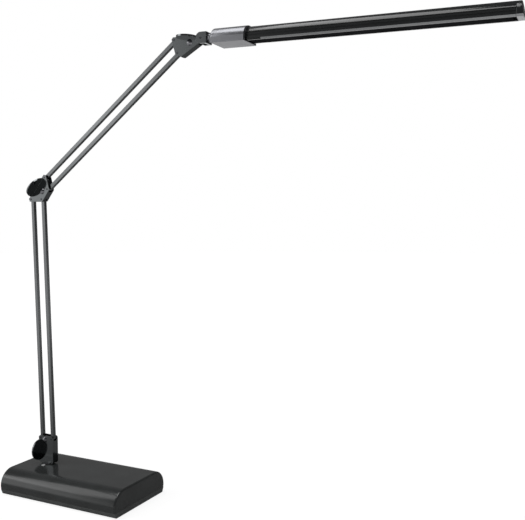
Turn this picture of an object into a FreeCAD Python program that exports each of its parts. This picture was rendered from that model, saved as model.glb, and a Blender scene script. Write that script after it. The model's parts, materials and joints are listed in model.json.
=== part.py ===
"""LED table lamp: weighted base, two parallel-bar arms, tilting and rolling light bar.

Frame: origin at the centre of the underside, +X along the base towards the light bar,
+Z up, millimetres. The arm's plane is Y = 0.
"""
import FreeCAD, Part
import math
import os
from FreeCAD import Placement, Rotation, Vector

# Driving dimensions: name, value, meaning.
SIZES = [
    ("base_long", 152.0, "base length"),
    ("base_half", 42.8, "half width at the widest"),
    ("base_high", 26.0, "height of the base's top"),
    ("corner_radius", 16.5, "rounding of the long top edges"),
    ("corner_height", 9.5, "height of that rounding's centre"),
    ("corner_angle", 76.0, "turn of that rounding before the crown, degrees"),
    ("bulge_height", 8.0, "height where the sides start to tuck in"),
    ("seam_height", 5.8, "height of the seam between cover and tray"),
    ("seam_inset", 0.5, "how far the cover's lower lip is drawn in"),
    ("tray_step", 0.4, "step in of the tray below the seam"),
    ("tray_tuck", 3.2, "tuck of the tray's underside from the widest"),
    ("foot_proud", 0.5, "how far the foot mat stands below the tray"),
    ("wall", 2.5, "wall of the base mouldings"),
    ("mat_end", 20.0, "foot mat to the base's ends"),
    ("mat_side", 12.8, "foot mat to the base's sides"),
    ("mat_thick", 1.2, "foot mat thickness"),
    ("post_radius", 4.0, "screw post radius"),
    ("post_end", 12.0, "screw posts to the base's ends"),
    ("post_side", 22.8, "screw posts to the base's sides"),
    ("screw_radius", 1.4, "tray screw shank radius"),
    ("screw_head_radius", 2.8, "tray screw head radius"),
    ("screw_head_high", 1.4, "tray screw head height"),
    ("screw_long", 11.0, "tray screw shank length"),
    ("weight_rear", 52.0, "counterweight to the base's rear end"),
    ("weight_side", 9.8, "counterweight to the base's sides"),
    ("weight_high", 14.0, "counterweight height"),
    ("weight_front", 24.0, "counterweight to the base's front end"),
    ("board_long", 24.0, "driver board length"),
    ("board_wide", 38.0, "driver board width"),
    ("board_thick", 1.6, "circuit board thickness"),
    ("board_rear", 31.0, "driver board's centre to the base's rear end"),
    ("board_lift", 7.2, "height of the driver board's standoffs"),
    ("standoff_radius", 2.0, "standoff radius"),
    ("jack_wide", 9.0, "inlet jack width"),
    ("jack_high", 8.0, "inlet jack height"),
    ("jack_long", 11.0, "inlet jack length"),
    ("jack_bore", 2.75, "inlet bore radius"),
    ("jack_depth", 9.0, "inlet bore depth"),
    ("button_rear", 29.7, "power button to the base's rear end"),
    ("button_y", -8.8, "power button along Y"),
    ("button_radius", 2.0, "power button radius"),
    ("button_proud", 0.7, "how far the button stands up"),
    ("button_travel", 0.5, "button travel"),
    ("button_flange", 3.0, "button retaining flange radius"),
    ("button_flange_high", 1.0, "button retaining flange height"),
    ("switch_side", 6.0, "tact switch body side"),
    ("swivel_rear", 28.9, "swivel axis to the base's rear end"),
    ("swivel_radius", 3.0, "swivel shaft radius"),
    ("swivel_flange", 6.4, "swivel flange radius"),
    ("washer_thick", 0.4, "swivel washer thickness"),
    ("flange_high", 0.6, "swivel flange height"),
    ("nut_high", 2.6, "swivel nut height"),
    ("nut_radius", 5.0, "swivel nut corner radius"),
    ("sheet_metal", 1.6, "bracket sheet thickness"),
    ("bracket_wide", 8.0, "bracket width outside"),
    ("plate_edge", 2.6, "plate margin round a pin"),
    ("ear_radius", 11.2, "half-round ear radius"),
    ("elbow_ear_radius", 12.2, "half-round ear radius at the elbow"),
    ("head_ear_radius", 10.2, "half-round ear radius at the head"),
    ("web_clear", 2.2, "pin to web end, along the edge"),
    ("rod_side", 3.8, "arm bar side"),
    ("pin_radius", 1.0, "pivot pin radius"),
    ("pin_proud", 0.25, "pivot pin past the plate"),
    ("run_gap", 0.05, "radial running clearance"),
    ("loose_gap", 0.09, "radial clearance of the open pivots"),
    ("fit_gap", 0.03, "radial clearance of a fixed fit"),
    ("stand_gap", 0.3, "clearance between moving faces"),
    ("bolt_radius", 1.5, "tension bolt radius"),
    ("dome_radius", 3.9, "tension bolt dome's sphere radius"),
    ("dome_from", 35.0, "latitude where the dome starts, degrees"),
    ("hex_radius", 3.0, "tension nut corner radius"),
    ("hex_high", 2.2, "tension nut height"),
    ("base_pin_height", 54.2, "base pins above the table"),
    ("lower_gap", 14.6, "lower bars' pin spacing"),
    ("lower_long", 261.0, "lower arm length, pin to pin"),
    ("lower_lean", 1.8, "lower arm's lean back at rest, degrees"),
    ("base_bolt_drop", 1.7, "base tension bolt below the pins"),
    ("base_bolt_back", 1.6, "base tension bolt behind the pins' middle"),
    ("base_ear_drop", 13.5, "base ear centre below the pins"),
    ("elbow_run", 19.2, "rear lower pin to upper pin, along X"),
    ("elbow_rise", 23.1, "rear lower pin to upper pin, along Z"),
    ("upper_gap", 13.0, "upper bars' pin spacing"),
    ("upper_slant", 73.7, "slope of the upper pins' line, degrees"),
    ("elbow_bolt_run", 15.9, "rear lower pin to elbow bolt, along X"),
    ("elbow_bolt_rise", 8.4, "rear lower pin to elbow bolt, along Z"),
    ("upper_long", 209.0, "upper arm length, pin to pin"),
    ("upper_rise", 37.4, "upper arm's slope at rest, degrees"),
    ("tilt_run", 30.3, "upper head pin to tilt pin, along X"),
    ("tilt_drop", 1.3, "upper head pin to tilt pin, down"),
    ("chin_run", 7.4, "upper head pin to the plate's chin, along X"),
    ("chin_drop", 13.9, "upper head pin to the plate's chin, down"),
    ("head_bolt_run", 17.3, "upper head pin to head bolt, along X"),
    ("head_bolt_drop", 4.2, "upper head pin to head bolt, down"),
    ("head_ear_run", 14.3, "upper head pin to the ear's centre, along X"),
    ("head_web_end", 6.5, "tilt pin to the head web's end"),
    ("head_droop", 1.8, "light bar's droop at rest, degrees"),
    ("cheek_radius", 5.4, "tilt fork cheek radius"),
    ("cheek_thick", 1.5, "tilt fork cheek thickness"),
    ("cheek_gap", 0.15, "cheek to bracket plate"),
    ("bridge_from", 3.7, "tilt pin to the fork's bridge"),
    ("bridge_long", 2.6, "fork bridge length"),
    ("neck_radius", 4.2, "neck radius"),
    ("neck_long", 4.8, "neck length"),
    ("spindle_radius", 2.8, "roll spindle radius"),
    ("spindle_long", 11.0, "roll spindle length past the neck"),
    ("clip_radius", 4.2, "spindle clip radius"),
    ("clip_thick", 1.2, "spindle clip thickness"),
    ("collar_long", 38.7, "collar length"),
    ("collar_end", 7.3, "thickness of the collar's rear wall"),
    ("collar_half", 13.0, "collar half width"),
    ("collar_rise", 10.0, "collar top above the arch centre"),
    ("collar_chamfer", 4.2, "chamfer of the collar's rear end"),
    ("arch_drop", 2.2, "arch centre below the roll axis"),
    ("collar_skirt", 5.4, "collar side below the arch centre"),
    ("bar_half", 9.0, "light bar half width"),
    ("socket_skirt", 4.55, "collar's socket below the arch centre"),
    ("bar_skirt", 4.6, "light bar side below the arch centre"),
    ("bar_bevel_wide", 1.6, "width of the chamfer along the light bar's lower edges"),
    ("bar_bevel_high", 1.4, "height of the chamfer along the light bar's lower edges"),
    ("bar_gap", 0.05, "light bar to collar"),
    ("rail_from", 1.0, "collar's mouth to the lamp rail"),
    ("rail_high", 3.1, "height of the lamp rail below the bar's root"),
    ("bar_start", 12.2, "collar's rear face to the light bar"),
    ("bar_long", 260.0, "light bar length"),
    ("groove_deep", 0.7, "depth of the bar's side grooves"),
    ("groove_high", 1.0, "height of the bar's side grooves"),
    ("groove_pitch", 2.6, "pitch of the bar's side grooves"),
    ("channel_half", 6.4, "half width of the lamp channel's mouth"),
    ("cavity_half", 7.2, "half width of the lamp channel above the lens"),
    ("channel_deep", 8.1, "depth of the bar's lamp channel"),
    ("lens_recess", 0.6, "lens above the bar's underside"),
    ("lens_thick", 1.4, "lens thickness"),
    ("lens_tongue", 0.8, "lens tongue into the bar's side"),
    ("lens_ledge", 0.8, "ledge of the bar above the lens"),
    ("chip_side", 2.8, "LED chip side"),
    ("chip_high", 0.8, "LED chip height"),
    ("chip_pitch", 10.0, "LED chip pitch"),
    ("chip_margin", 10.0, "first LED chip from the board's end"),
    ("cap_thick", 3.4, "end cap thickness"),
    ("cap_plug", 3.0, "end cap plug length"),
    ("cap_slope", 2.4, "end cap's lower lip past its top"),
    ("overrun", 2.0, "how far a cut runs past a face"),
]

doc = FreeCAD.newDocument("lamp")
sheet = doc.addObject("Spreadsheet::Sheet", "sizes")
for row, (alias, number, meaning) in enumerate(SIZES, start=1):
    sheet.set("A%d" % row, meaning)
    sheet.set("B%d" % row, str(number))
    sheet.setAlias("B%d" % row, alias)
doc.recompute()
V = {alias: float(sheet.get(alias)) for alias, number, meaning in SIZES}
NODES = []


def bind(item, **expressions):
    """Tie an object's properties to the sheet; a bare word is a sheet alias."""
    for prop, text in expressions.items():
        words = [("sizes." + w if w in V else w) for w in text.split()]
        item.setExpression(prop, " ".join(words))
    return item


def polar(length, degrees):
    """A vector in the arm's plane, at an angle above +X."""
    turn = math.radians(degrees)
    return Vector(length * math.cos(turn), 0, length * math.sin(turn))


def pitch(degrees):
    """The turn about Y that lifts +X by an angle."""
    return Rotation(Vector(0, -1, 0), degrees)


ALONG_Y = Rotation(Vector(1, 0, 0), -90)
ALONG_X = Rotation(Vector(0, 1, 0), 90)


def box(name, length, width, height, at, turn=Rotation()):
    item = doc.addObject("Part::Box", name)
    bind(item, Length=length, Width=width, Height=height)
    item.Placement = Placement(at, turn)
    return item


def cylinder(name, radius, height, at, turn=Rotation()):
    item = doc.addObject("Part::Cylinder", name)
    bind(item, Radius=radius, Height=height)
    item.Placement = Placement(at, turn)
    return item


def fuse(name, items):
    item = doc.addObject("Part::MultiFuse", name)
    item.Shapes = items
    item.Refine = True
    return item


def cut(name, base, tools):
    item = doc.addObject("Part::Cut", name)
    item.Base = base
    item.Tool = tools[0] if len(tools) == 1 else fuse(name + "_tools", tools)
    return item


def node(item, label):
    """Give a finished piece the name of its file."""
    item.Label = label
    NODES.append(item)
    return item


def origin_plane(body, role):
    return next(f for f in body.Origin.OriginFeatures if f.Role == role)


def sketch(body, name, role, edges, lift=0.0):
    """A sketch on one of the body's own planes, moved along its normal."""
    item = body.newObject("Sketcher::SketchObject", name)
    item.AttachmentSupport = [(origin_plane(body, role), "")]
    item.MapMode = "FlatFace"
    item.AttachmentOffset = Placement(Vector(0, 0, lift), Rotation())
    for edge in edges:
        item.addGeometry(edge, False)
    return item


def pad(body, name, profile, length, midplane=False):
    item = body.newObject("PartDesign::Pad", name)
    item.Profile = profile
    item.Midplane = midplane
    bind(item, Length=length)
    return item


def pocket(body, name, profile, length, midplane=False, backwards=False):
    item = body.newObject("PartDesign::Pocket", name)
    item.Profile = profile
    item.Midplane = midplane
    item.Reversed = backwards
    bind(item, Length=length)
    return item


def polygon(points):
    """Closed lines through 2-D points."""
    ends = points[1:] + points[:1]
    return [Part.LineSegment(Vector(*a, 0), Vector(*b, 0)) for a, b in zip(points, ends)]


def rectangle(x_low, y_low, x_high, y_high):
    return polygon([(x_low, y_low), (x_high, y_low), (x_high, y_high), (x_low, y_high)])


def arc(centre, radius, start, stop):
    ring = Part.Circle(Vector(*centre, 0), Vector(0, 0, 1), radius)
    return Part.ArcOfCircle(ring, math.radians(start), math.radians(stop))


def circle(centre, radius):
    return [Part.Circle(Vector(*centre, 0), Vector(0, 0, 1), radius)]


def hull(centres, radius):
    """Outline round equal circles, centres counter-clockwise in X and Z, each corner cut in two."""
    flat = [Vector(c.x, c.z, 0) for c in centres]
    count = len(flat)
    turns = []
    for i in range(count):
        run = flat[(i + 1) % count] - flat[i]
        turns.append(math.atan2(-run.x, run.y))
    corners = []
    for i in range(count):
        centre = flat[(i + 1) % count]
        swing = (turns[(i + 1) % count] - turns[i]) % math.tau
        reach = radius / math.cos(swing / 4)
        for share in (1 / 4, 3 / 4):
            turn = turns[i] + swing * share
            corners.append((centre.x + reach * math.cos(turn), centre.y + reach * math.sin(turn)))
    return polygon(corners)


# Places of the pivots, from the driving dimensions.
half_wide = V["bracket_wide"] / 2
inner_half = half_wide - V["sheet_metal"]
base_end = V["base_long"] / 2
swivel = Vector(V["swivel_rear"] - base_end, 0, V["base_high"])
base_rear = Vector(swivel.x - V["lower_gap"] / 2, 0, V["base_pin_height"])
base_front = base_rear + Vector(V["lower_gap"], 0, 0)
lower_angle = 90 + V["lower_lean"]
elbow_rear = base_rear + polar(V["lower_long"], lower_angle)
elbow_front = base_front + polar(V["lower_long"], lower_angle)
elbow_top = elbow_rear + Vector(V["elbow_run"], 0, V["elbow_rise"])
elbow_low = elbow_top + polar(V["upper_gap"], -V["upper_slant"])
head_top = elbow_top + polar(V["upper_long"], V["upper_rise"])
head_low = elbow_low + polar(V["upper_long"], V["upper_rise"])
head_chin = head_top + Vector(V["chin_run"], 0, -V["chin_drop"])
tilt = head_top + Vector(V["tilt_run"], 0, -V["tilt_drop"])
base_bolt = base_rear + Vector(V["lower_gap"] / 2 - V["base_bolt_back"], 0, -V["base_bolt_drop"])
elbow_bolt = elbow_rear + Vector(V["elbow_bolt_run"], 0, V["elbow_bolt_rise"])
head_bolt = head_top + Vector(V["head_bolt_run"], 0, -V["head_bolt_drop"])
flange_top = V["base_high"] + V["washer_thick"] + V["flange_high"]


# Base mouldings: a loaf section drawn across the base and padded along it.
def cover_outline(inset):
    """The cover's section, drawn in by a wall: rounded long edges and a crowned top."""
    side = V["base_half"] - inset
    radius = V["corner_radius"] - inset
    turn = math.radians(V["corner_angle"])
    knee = (V["base_half"] - V["corner_radius"], V["corner_height"])
    shoulder = (knee[0] + radius * math.cos(turn), knee[1] + radius * math.sin(turn))
    top = V["base_high"] - inset
    crown = (top - shoulder[1]) / (1 - math.sin(turn))
    flat = shoulder[0] - crown * math.cos(turn)
    lip = side - V["seam_inset"]
    low = V["seam_height"]
    line = [
        ((-flat, top), (flat, top)),
        ((side, knee[1]), (side, V["bulge_height"])),
        ((side, V["bulge_height"]), (lip, low)),
        ((lip, low), (-lip, low)),
        ((-lip, low), (-side, V["bulge_height"])),
        ((-side, V["bulge_height"]), (-side, knee[1])),
    ]
    edges = [Part.LineSegment(Vector(*a, 0), Vector(*b, 0)) for a, b in line]
    edges.append(arc(knee, radius, 0, V["corner_angle"]))
    edges.append(arc((flat, top - crown), crown, V["corner_angle"], 90))
    edges.append(arc((-flat, top - crown), crown, 90, 180 - V["corner_angle"]))
    edges.append(arc((-knee[0], knee[1]), radius, 180 - V["corner_angle"], 180))
    return edges


tray_low = V["foot_proud"]
tray_floor = tray_low + V["wall"]
top_under = V["base_high"] - V["wall"]
post_x = base_end - V["post_end"]
post_y = V["base_half"] - V["post_side"]
posts = [(sx * post_x, sy * post_y) for sx in (-1, 1) for sy in (-1, 1)]
mat_long = "base_long - 2 * mat_end"
mat_wide = "2 * base_half - 2 * mat_side"
mat_corner = Vector(V["mat_end"] - base_end, V["mat_side"] - V["base_half"], 0)
button_x = V["button_rear"] - base_end
board_x = V["board_rear"] - base_end
tray_half = V["base_half"] - V["tray_tuck"]

cover_body = doc.addObject("PartDesign::Body", "cover_body")
pad(cover_body, "cover_pad", sketch(cover_body, "cover_section", "YZ_Plane", cover_outline(0.0)),
    "base_long", midplane=True)
pocket(cover_body, "cover_hollow",
       sketch(cover_body, "cover_inside", "YZ_Plane", cover_outline(V["wall"])),
       "base_long - 2 * wall", midplane=True)
post_cylinders = []
post_bores = []
for number, (px, py) in enumerate(posts, start=1):
    post_cylinders.append(cylinder("post_%d" % number, "post_radius",
                                   "base_high - wall / 2 - foot_proud - wall", Vector(px, py, tray_floor)))
    post_bores.append(cylinder("post_bore_%d" % number, "screw_radius + fit_gap",
                               "screw_head_high + screw_long + fit_gap", Vector(px, py, tray_low)))
cover_solid = fuse("cover_solid", [cover_body] + post_cylinders)
jack_z = V["seam_height"] + V["wall"] / 2 + V["jack_high"] / 2
cover_cuts = post_bores + [
    cylinder("swivel_bore", "swivel_radius + run_gap", "wall + 2 * overrun",
             Vector(swivel.x, 0, top_under - V["overrun"])),
    cylinder("button_bore", "button_radius + run_gap", "wall + 2 * overrun",
             Vector(button_x, V["button_y"], top_under - V["overrun"])),
    box("jack_window", "wall + 2 * overrun", "jack_wide + 2 * fit_gap", "jack_high + 2 * fit_gap",
        Vector(-base_end - V["overrun"], -V["jack_wide"] / 2 - V["fit_gap"],
               jack_z - V["jack_high"] / 2 - V["fit_gap"])),
]
node(cut("cover", cover_solid, cover_cuts), "base_cover")

# Bottom tray with its recess for the foot mat and counterbored screw holes.
tray_top_half = V["base_half"] - V["seam_inset"] - V["tray_step"]
tray_outline = polygon([(-tray_half, tray_low), (tray_half, tray_low),
                        (tray_top_half, V["seam_height"]), (-tray_top_half, V["seam_height"])])
tray_inner = tray_half - V["wall"]
tray_body = doc.addObject("PartDesign::Body", "tray_body")
pad(tray_body, "tray_pad", sketch(tray_body, "tray_section", "YZ_Plane", tray_outline),
    "base_long - 2 * tray_step", midplane=True)
pocket(tray_body, "tray_hollow",
       sketch(tray_body, "tray_inside", "YZ_Plane",
              rectangle(-tray_inner, tray_floor, tray_inner, V["seam_height"] + V["overrun"])),
       "base_long - 2 * tray_step - 2 * wall", midplane=True)
tray_cuts = [box("mat_recess", mat_long + " + 2 * stand_gap", mat_wide + " + 2 * stand_gap", "mat_thick",
                 mat_corner - Vector(V["stand_gap"], V["stand_gap"], 0))]
for number, (px, py) in enumerate(posts, start=1):
    tray_cuts.append(cylinder("tray_bore_%d" % number, "screw_radius + fit_gap", "wall + 2 * overrun",
                              Vector(px, py, 0)))
    tray_cuts.append(cylinder("tray_sink_%d" % number, "screw_head_radius + fit_gap",
                              "foot_proud + screw_head_high", Vector(px, py, 0)))
node(cut("tray", tray_body, tray_cuts), "base_tray")
node(box("mat", mat_long, mat_wide, "mat_thick", mat_corner), "foot_mat")
for number, (px, py) in enumerate(posts, start=1):
    screw_parts = [
        cylinder("screw_head_%d" % number, "screw_head_radius", "screw_head_high", Vector(px, py, tray_low)),
        cylinder("screw_shank_%d" % number, "screw_radius", "screw_head_high + screw_long",
                 Vector(px, py, tray_low)),
    ]
    node(fuse("screw_%d" % number, screw_parts), "tray_screw_%d" % number)

# What the base holds: the counterweight, the driver board on its standoffs, switch and inlet.
node(box("weight", "base_long - weight_rear - weight_front", "2 * base_half - 2 * weight_side", "weight_high",
         Vector(V["weight_rear"] - base_end, V["weight_side"] - V["base_half"], tray_floor)), "counterweight")
board_low = tray_floor + V["board_lift"]
board_corner = Vector(board_x - V["board_long"] / 2, -V["board_wide"] / 2, board_low)
board_parts = [box("board_sheet", "board_long", "board_wide", "board_thick", board_corner)]
for sx in (-1, 1):
    for sy in (-1, 1):
        place = Vector(board_x + sx * (V["board_long"] / 2 - V["standoff_radius"]),
                       sy * (V["board_wide"] / 2 - V["standoff_radius"]), tray_floor)
        board_parts.append(cylinder("standoff", "standoff_radius", "board_lift", place))
node(fuse("board", board_parts), "driver_board")

stem_low = top_under - V["run_gap"] - V["button_flange_high"]
switch_low = board_low + V["board_thick"]
switch_top = stem_low - V["button_travel"] - V["run_gap"]
switch_box = doc.addObject("Part::Box", "switch_box")
bind(switch_box, Length="switch_side", Width="switch_side",
     Height="base_high - 2 * wall - 2 * run_gap - button_flange_high - button_travel - foot_proud"
            " - board_lift - board_thick")
switch_box.Placement = Placement(Vector(button_x - V["switch_side"] / 2,
                                        V["button_y"] - V["switch_side"] / 2, switch_low), Rotation())
node(switch_box, "tact_switch")

button_parts = [
    cylinder("button_cap", "button_radius", "wall + button_proud + run_gap",
             Vector(button_x, V["button_y"], top_under - V["run_gap"])),
    cylinder("button_rim", "button_flange", "button_flange_high",
             Vector(button_x, V["button_y"], stem_low)),
]
node(fuse("button", button_parts), "power_button")

jack_corner = Vector(-base_end, -V["jack_wide"] / 2, jack_z - V["jack_high"] / 2)
jack_hole = cylinder("jack_hole", "jack_bore", "jack_depth + overrun",
                     Vector(-base_end - V["overrun"], 0, jack_z), ALONG_X)
node(cut("jack", box("jack_block", "jack_long", "jack_wide", "jack_high", jack_corner), [jack_hole]),
     "dc_jack")

# Swivel: a flanged shaft through the cover, with its washer and nut.
washer = cut("washer", cylinder("washer_disc", "swivel_flange", "washer_thick", swivel),
             [cylinder("washer_bore", "swivel_radius + run_gap", "washer_thick + 2 * overrun",
                       swivel - Vector(0, 0, V["overrun"]))])
node(washer, "swivel_washer")
shaft_low = top_under - V["stand_gap"] - V["nut_high"]
post_parts = [
    cylinder("swivel_disc", "swivel_flange", "flange_high", swivel + Vector(0, 0, V["washer_thick"])),
    cylinder("swivel_shaft", "swivel_radius", "washer_thick + flange_high + wall + stand_gap + nut_high",
             Vector(swivel.x, 0, shaft_low)),
]
node(fuse("swivel_body", post_parts), "swivel_post")
nut_prism = doc.addObject("Part::Prism", "nut_prism")
bind(nut_prism, Circumradius="nut_radius", Height="nut_high")
nut_prism.Placement = Placement(Vector(swivel.x, 0, shaft_low), Rotation())
nut_bore = cylinder("nut_bore", "swivel_radius + fit_gap", "nut_high + 2 * overrun",
                    Vector(swivel.x, 0, shaft_low - V["overrun"]))
node(cut("swivel_hex", nut_prism, [nut_bore]), "swivel_nut")


# Folded brackets: two side plates, a web along one edge and a half-round ear on each plate.
def plate(name, centres, face):
    """One side plate, its inner side at a distance along Y, grown towards -Y."""
    outline = doc.addObject("Sketcher::SketchObject", name + "_outline")
    outline.Placement = Placement(Vector(0, face, 0), Rotation(Vector(1, 0, 0), 90))
    for edge in hull(centres, V["plate_edge"]):
        outline.addGeometry(edge, False)
    item = doc.addObject("Part::Extrusion", name)
    item.Base = outline
    item.DirMode = "Normal"
    item.Solid = True
    bind(item, LengthFwd="sheet_metal")
    return item


def edge_frame(first, second):
    """The direction, slope and outward normal of an outline's edge."""
    run = (second - first).normalize()
    slope = math.degrees(math.atan2(run.z, run.x))
    return run, slope, Vector(run.z, 0, -run.x)


def web(name, first, second, clear_first, clear_second):
    """The folded wall along an edge, between the two plates' outsides."""
    run, slope, outward = edge_frame(first, second)
    item = doc.addObject("Part::Box", name)
    item.Length = (second - first).Length - clear_first - clear_second
    bind(item, Width="bracket_wide", Height="sheet_metal")
    corner = first + run * clear_first + outward * V["plate_edge"]
    item.Placement = Placement(corner - Vector(0, half_wide, 0), pitch(slope))
    return item


def ears(name, first, second, middle, radius="ear_radius"):
    """A half-round ear bent out of each plate at a distance along an edge."""
    run, slope, outward = edge_frame(first, second)
    centre = first + run * middle + outward * V["plate_edge"]
    pair = []
    for side, turn in ((1, 0), (-1, 180)):
        ear = cylinder("%s_%d" % (name, turn), radius, "sheet_metal",
                       centre + Vector(0, side * half_wide, 0),
                       pitch(slope) * Rotation(Vector(0, 0, 1), turn))
        ear.Angle = 180
        pair.append(ear)
    return pair


def across(name, radius, centre):
    """A cutter through a whole bracket along Y."""
    start = centre - Vector(0, half_wide + V["overrun"], 0)
    return cylinder(name, radius, "bracket_wide + 2 * overrun", start, ALONG_Y)


def pin(label, centre):
    start = centre - Vector(0, half_wide + V["pin_proud"], 0)
    node(cylinder(label + "_rod", "pin_radius", "bracket_wide + 2 * pin_proud", start, ALONG_Y), label)


def tension_bolt(label, centre):
    """A dome-headed bolt through both plates, with its nut on the far side."""
    cap = doc.addObject("Part::Sphere", label + "_dome")
    bind(cap, Radius="dome_radius", Angle1="dome_from")
    cap.Angle2 = 90
    sunk = V["dome_radius"] * math.sin(math.radians(V["dome_from"]))
    cap.Placement = Placement(centre + Vector(0, sunk - half_wide, 0), Rotation(Vector(1, 0, 0), 90))
    shank = cylinder(label + "_shank", "bolt_radius", "bracket_wide + hex_high",
                     centre - Vector(0, half_wide, 0), ALONG_Y)
    node(fuse(label + "_solid", [cap, shank]), label + "_bolt")
    hexagon = doc.addObject("Part::Prism", label + "_hexagon")
    bind(hexagon, Circumradius="hex_radius", Height="hex_high")
    hexagon.Placement = Placement(centre + Vector(0, half_wide, 0), ALONG_Y)
    hole = cylinder(label + "_nut_bore", "bolt_radius + fit_gap", "hex_high + 2 * overrun",
                    centre + Vector(0, half_wide - V["overrun"], 0), ALONG_Y)
    node(cut(label + "_hex", hexagon, [hole]), label + "_nut")


def bracket(label, centres, walls, pins, bolt):
    """Plates round the centres, with walls and ears, bored for pins and a tension bolt."""
    near = plate(label + "_near", centres, -inner_half)
    far = plate(label + "_far", centres, half_wide)
    bores = [across("%s_bore_%d" % (label, i), "pin_radius + fit_gap", p) for i, p in enumerate(pins)]
    bores.append(across(label + "_bolt_bore", "bolt_radius + fit_gap", bolt))
    return cut(label + "_cut", fuse(label + "_folded", [near, far] + walls), bores)


foot_height = flange_top + V["plate_edge"]
foot_rear = Vector(base_rear.x, 0, foot_height)
foot_front = Vector(base_front.x, 0, foot_height)
ear_from_top = V["base_ear_drop"]
base_walls = ears("base_ear", base_rear, foot_rear, ear_from_top)
base_walls.append(web("base_web", foot_front, base_front, 0, V["web_clear"]))
base_walls.append(web("base_floor", foot_rear, foot_front, 0, 0))
node(bracket("base_bracket", [foot_rear, foot_front, base_front, base_rear], base_walls,
             [base_rear, base_front], base_bolt), "base_bracket")
pin("base_pin_rear", base_rear)
pin("base_pin_front", base_front)
tension_bolt("base", base_bolt)

elbow_walls = ears("elbow_ear", elbow_top, elbow_rear, (elbow_top - elbow_rear).Length / 2,
                   "elbow_ear_radius")
elbow_walls.append(web("elbow_web", elbow_front, elbow_low, V["web_clear"], V["web_clear"]))
node(bracket("elbow_bracket", [elbow_rear, elbow_front, elbow_low, elbow_top], elbow_walls,
             [elbow_rear, elbow_front, elbow_low, elbow_top], elbow_bolt), "elbow_bracket")
pin("elbow_pin_rear", elbow_rear)
pin("elbow_pin_front", elbow_front)
pin("elbow_pin_top", elbow_top)
pin("elbow_pin_low", elbow_low)
tension_bolt("elbow", elbow_bolt)

head_walls = ears("head_ear", tilt, head_top, (tilt - head_top).Length - V["head_ear_run"],
                  "head_ear_radius")
head_walls.append(web("head_web", head_chin, tilt, 0, V["head_web_end"]))
node(bracket("head_bracket", [head_top, head_low, head_chin, tilt], head_walls,
             [head_top, head_low, tilt], head_bolt), "head_bracket")
pin("head_pin_top", head_top)
pin("head_pin_low", head_low)
tension_bolt("head", head_bolt)


# Arms: two square bars each, round-ended and bored for the pins; the second bar's far end is the
# open pivot.
def arm_bar(label, start, long_name, slope, far_gap):
    turn = pitch(slope)
    end = start + polar(V[long_name], slope)
    side = Vector(0, -V["rod_side"] / 2, 0)
    corner = side - Vector(0, 0, V["rod_side"] / 2)
    stock = [box(label + "_stock", long_name, "rod_side", "rod_side", start + turn.multVec(corner), turn),
             cylinder(label + "_near_end", "rod_side / 2", "rod_side", start + side, ALONG_Y),
             cylinder(label + "_far_end", "rod_side / 2", "rod_side", end + side, ALONG_Y)]
    bores = [across(label + "_near_bore", "pin_radius + run_gap", start),
             across(label + "_far_bore", "pin_radius + " + far_gap, end)]
    node(cut(label + "_bored", fuse(label + "_round", stock), bores), label)


arm_bar("lower_bar_rear", base_rear, "lower_long", lower_angle, "run_gap")
arm_bar("lower_bar_front", base_front, "lower_long", lower_angle, "loose_gap")
arm_bar("upper_bar_top", elbow_top, "upper_long", V["upper_rise"], "run_gap")
arm_bar("upper_bar_low", elbow_low, "upper_long", V["upper_rise"], "loose_gap")

# Head: everything past the tilt pin is laid out along X from that pin, then drooped.
head_place = Placement(tilt, pitch(-V["head_droop"]))


def lay(item):
    """Move a piece laid out along X into the head's place."""
    item.Placement = head_place.multiply(item.Placement)
    return item


cheek_face = half_wide + V["cheek_gap"]
fork_half = cheek_face + V["cheek_thick"]
fork_parts = []
for side in (-1, 1):
    start = -fork_half if side < 0 else cheek_face
    fork_parts.append(cylinder("cheek", "cheek_radius", "cheek_thick", Vector(0, start, 0), ALONG_Y))
    fork_parts.append(box("cheek_arm", "bridge_from + bridge_long", "cheek_thick", "2 * cheek_radius",
                          Vector(0, start, -V["cheek_radius"])))
fork_parts.append(box("bridge", "bridge_long", "bracket_wide + 2 * cheek_gap + 2 * cheek_thick",
                      "2 * cheek_radius", Vector(V["bridge_from"], -fork_half, -V["cheek_radius"])))
fork_bore = cylinder("fork_bore", "pin_radius + run_gap", "bracket_wide + 4 * cheek_thick + 2 * overrun",
                     Vector(0, -half_wide - 2 * V["cheek_thick"] - V["overrun"], 0), ALONG_Y)
bridge_end = V["bridge_from"] + V["bridge_long"]
fork_seat = cylinder("fork_seat", "spindle_radius + fit_gap", "bridge_long + 2 * overrun",
                     Vector(V["bridge_from"] - V["overrun"], 0, 0), ALONG_X)
node(lay(cut("fork", fuse("fork_solid", fork_parts), [fork_bore, fork_seat])), "tilt_fork")
tilt_start = Vector(0, -fork_half - V["pin_proud"], 0)
node(lay(cylinder("tilt_rod", "pin_radius", "bracket_wide + 2 * cheek_gap + 2 * cheek_thick + 2 * pin_proud",
                  tilt_start, ALONG_Y)), "tilt_pin")

# Roll spindle: pressed into the fork, turning in the collar's rear wall behind a clip.
collar_from = bridge_end + V["neck_long"]
spindle_parts = [
    cylinder("neck", "neck_radius", "neck_long - stand_gap", Vector(bridge_end, 0, 0), ALONG_X),
    cylinder("spindle_shaft", "spindle_radius", "bridge_long + neck_long + spindle_long",
             Vector(V["bridge_from"], 0, 0), ALONG_X),
]
node(lay(fuse("spindle", spindle_parts)), "roll_spindle")
clip_from = collar_from + V["collar_end"] + V["run_gap"]
clip = cut("clip", cylinder("clip_disc", "clip_radius", "clip_thick", Vector(clip_from, 0, 0), ALONG_X),
           [cylinder("clip_bore", "spindle_radius + fit_gap", "clip_thick + 2 * overrun",
                     Vector(clip_from - V["overrun"], 0, 0), ALONG_X)])
node(lay(clip), "spindle_clip")


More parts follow.
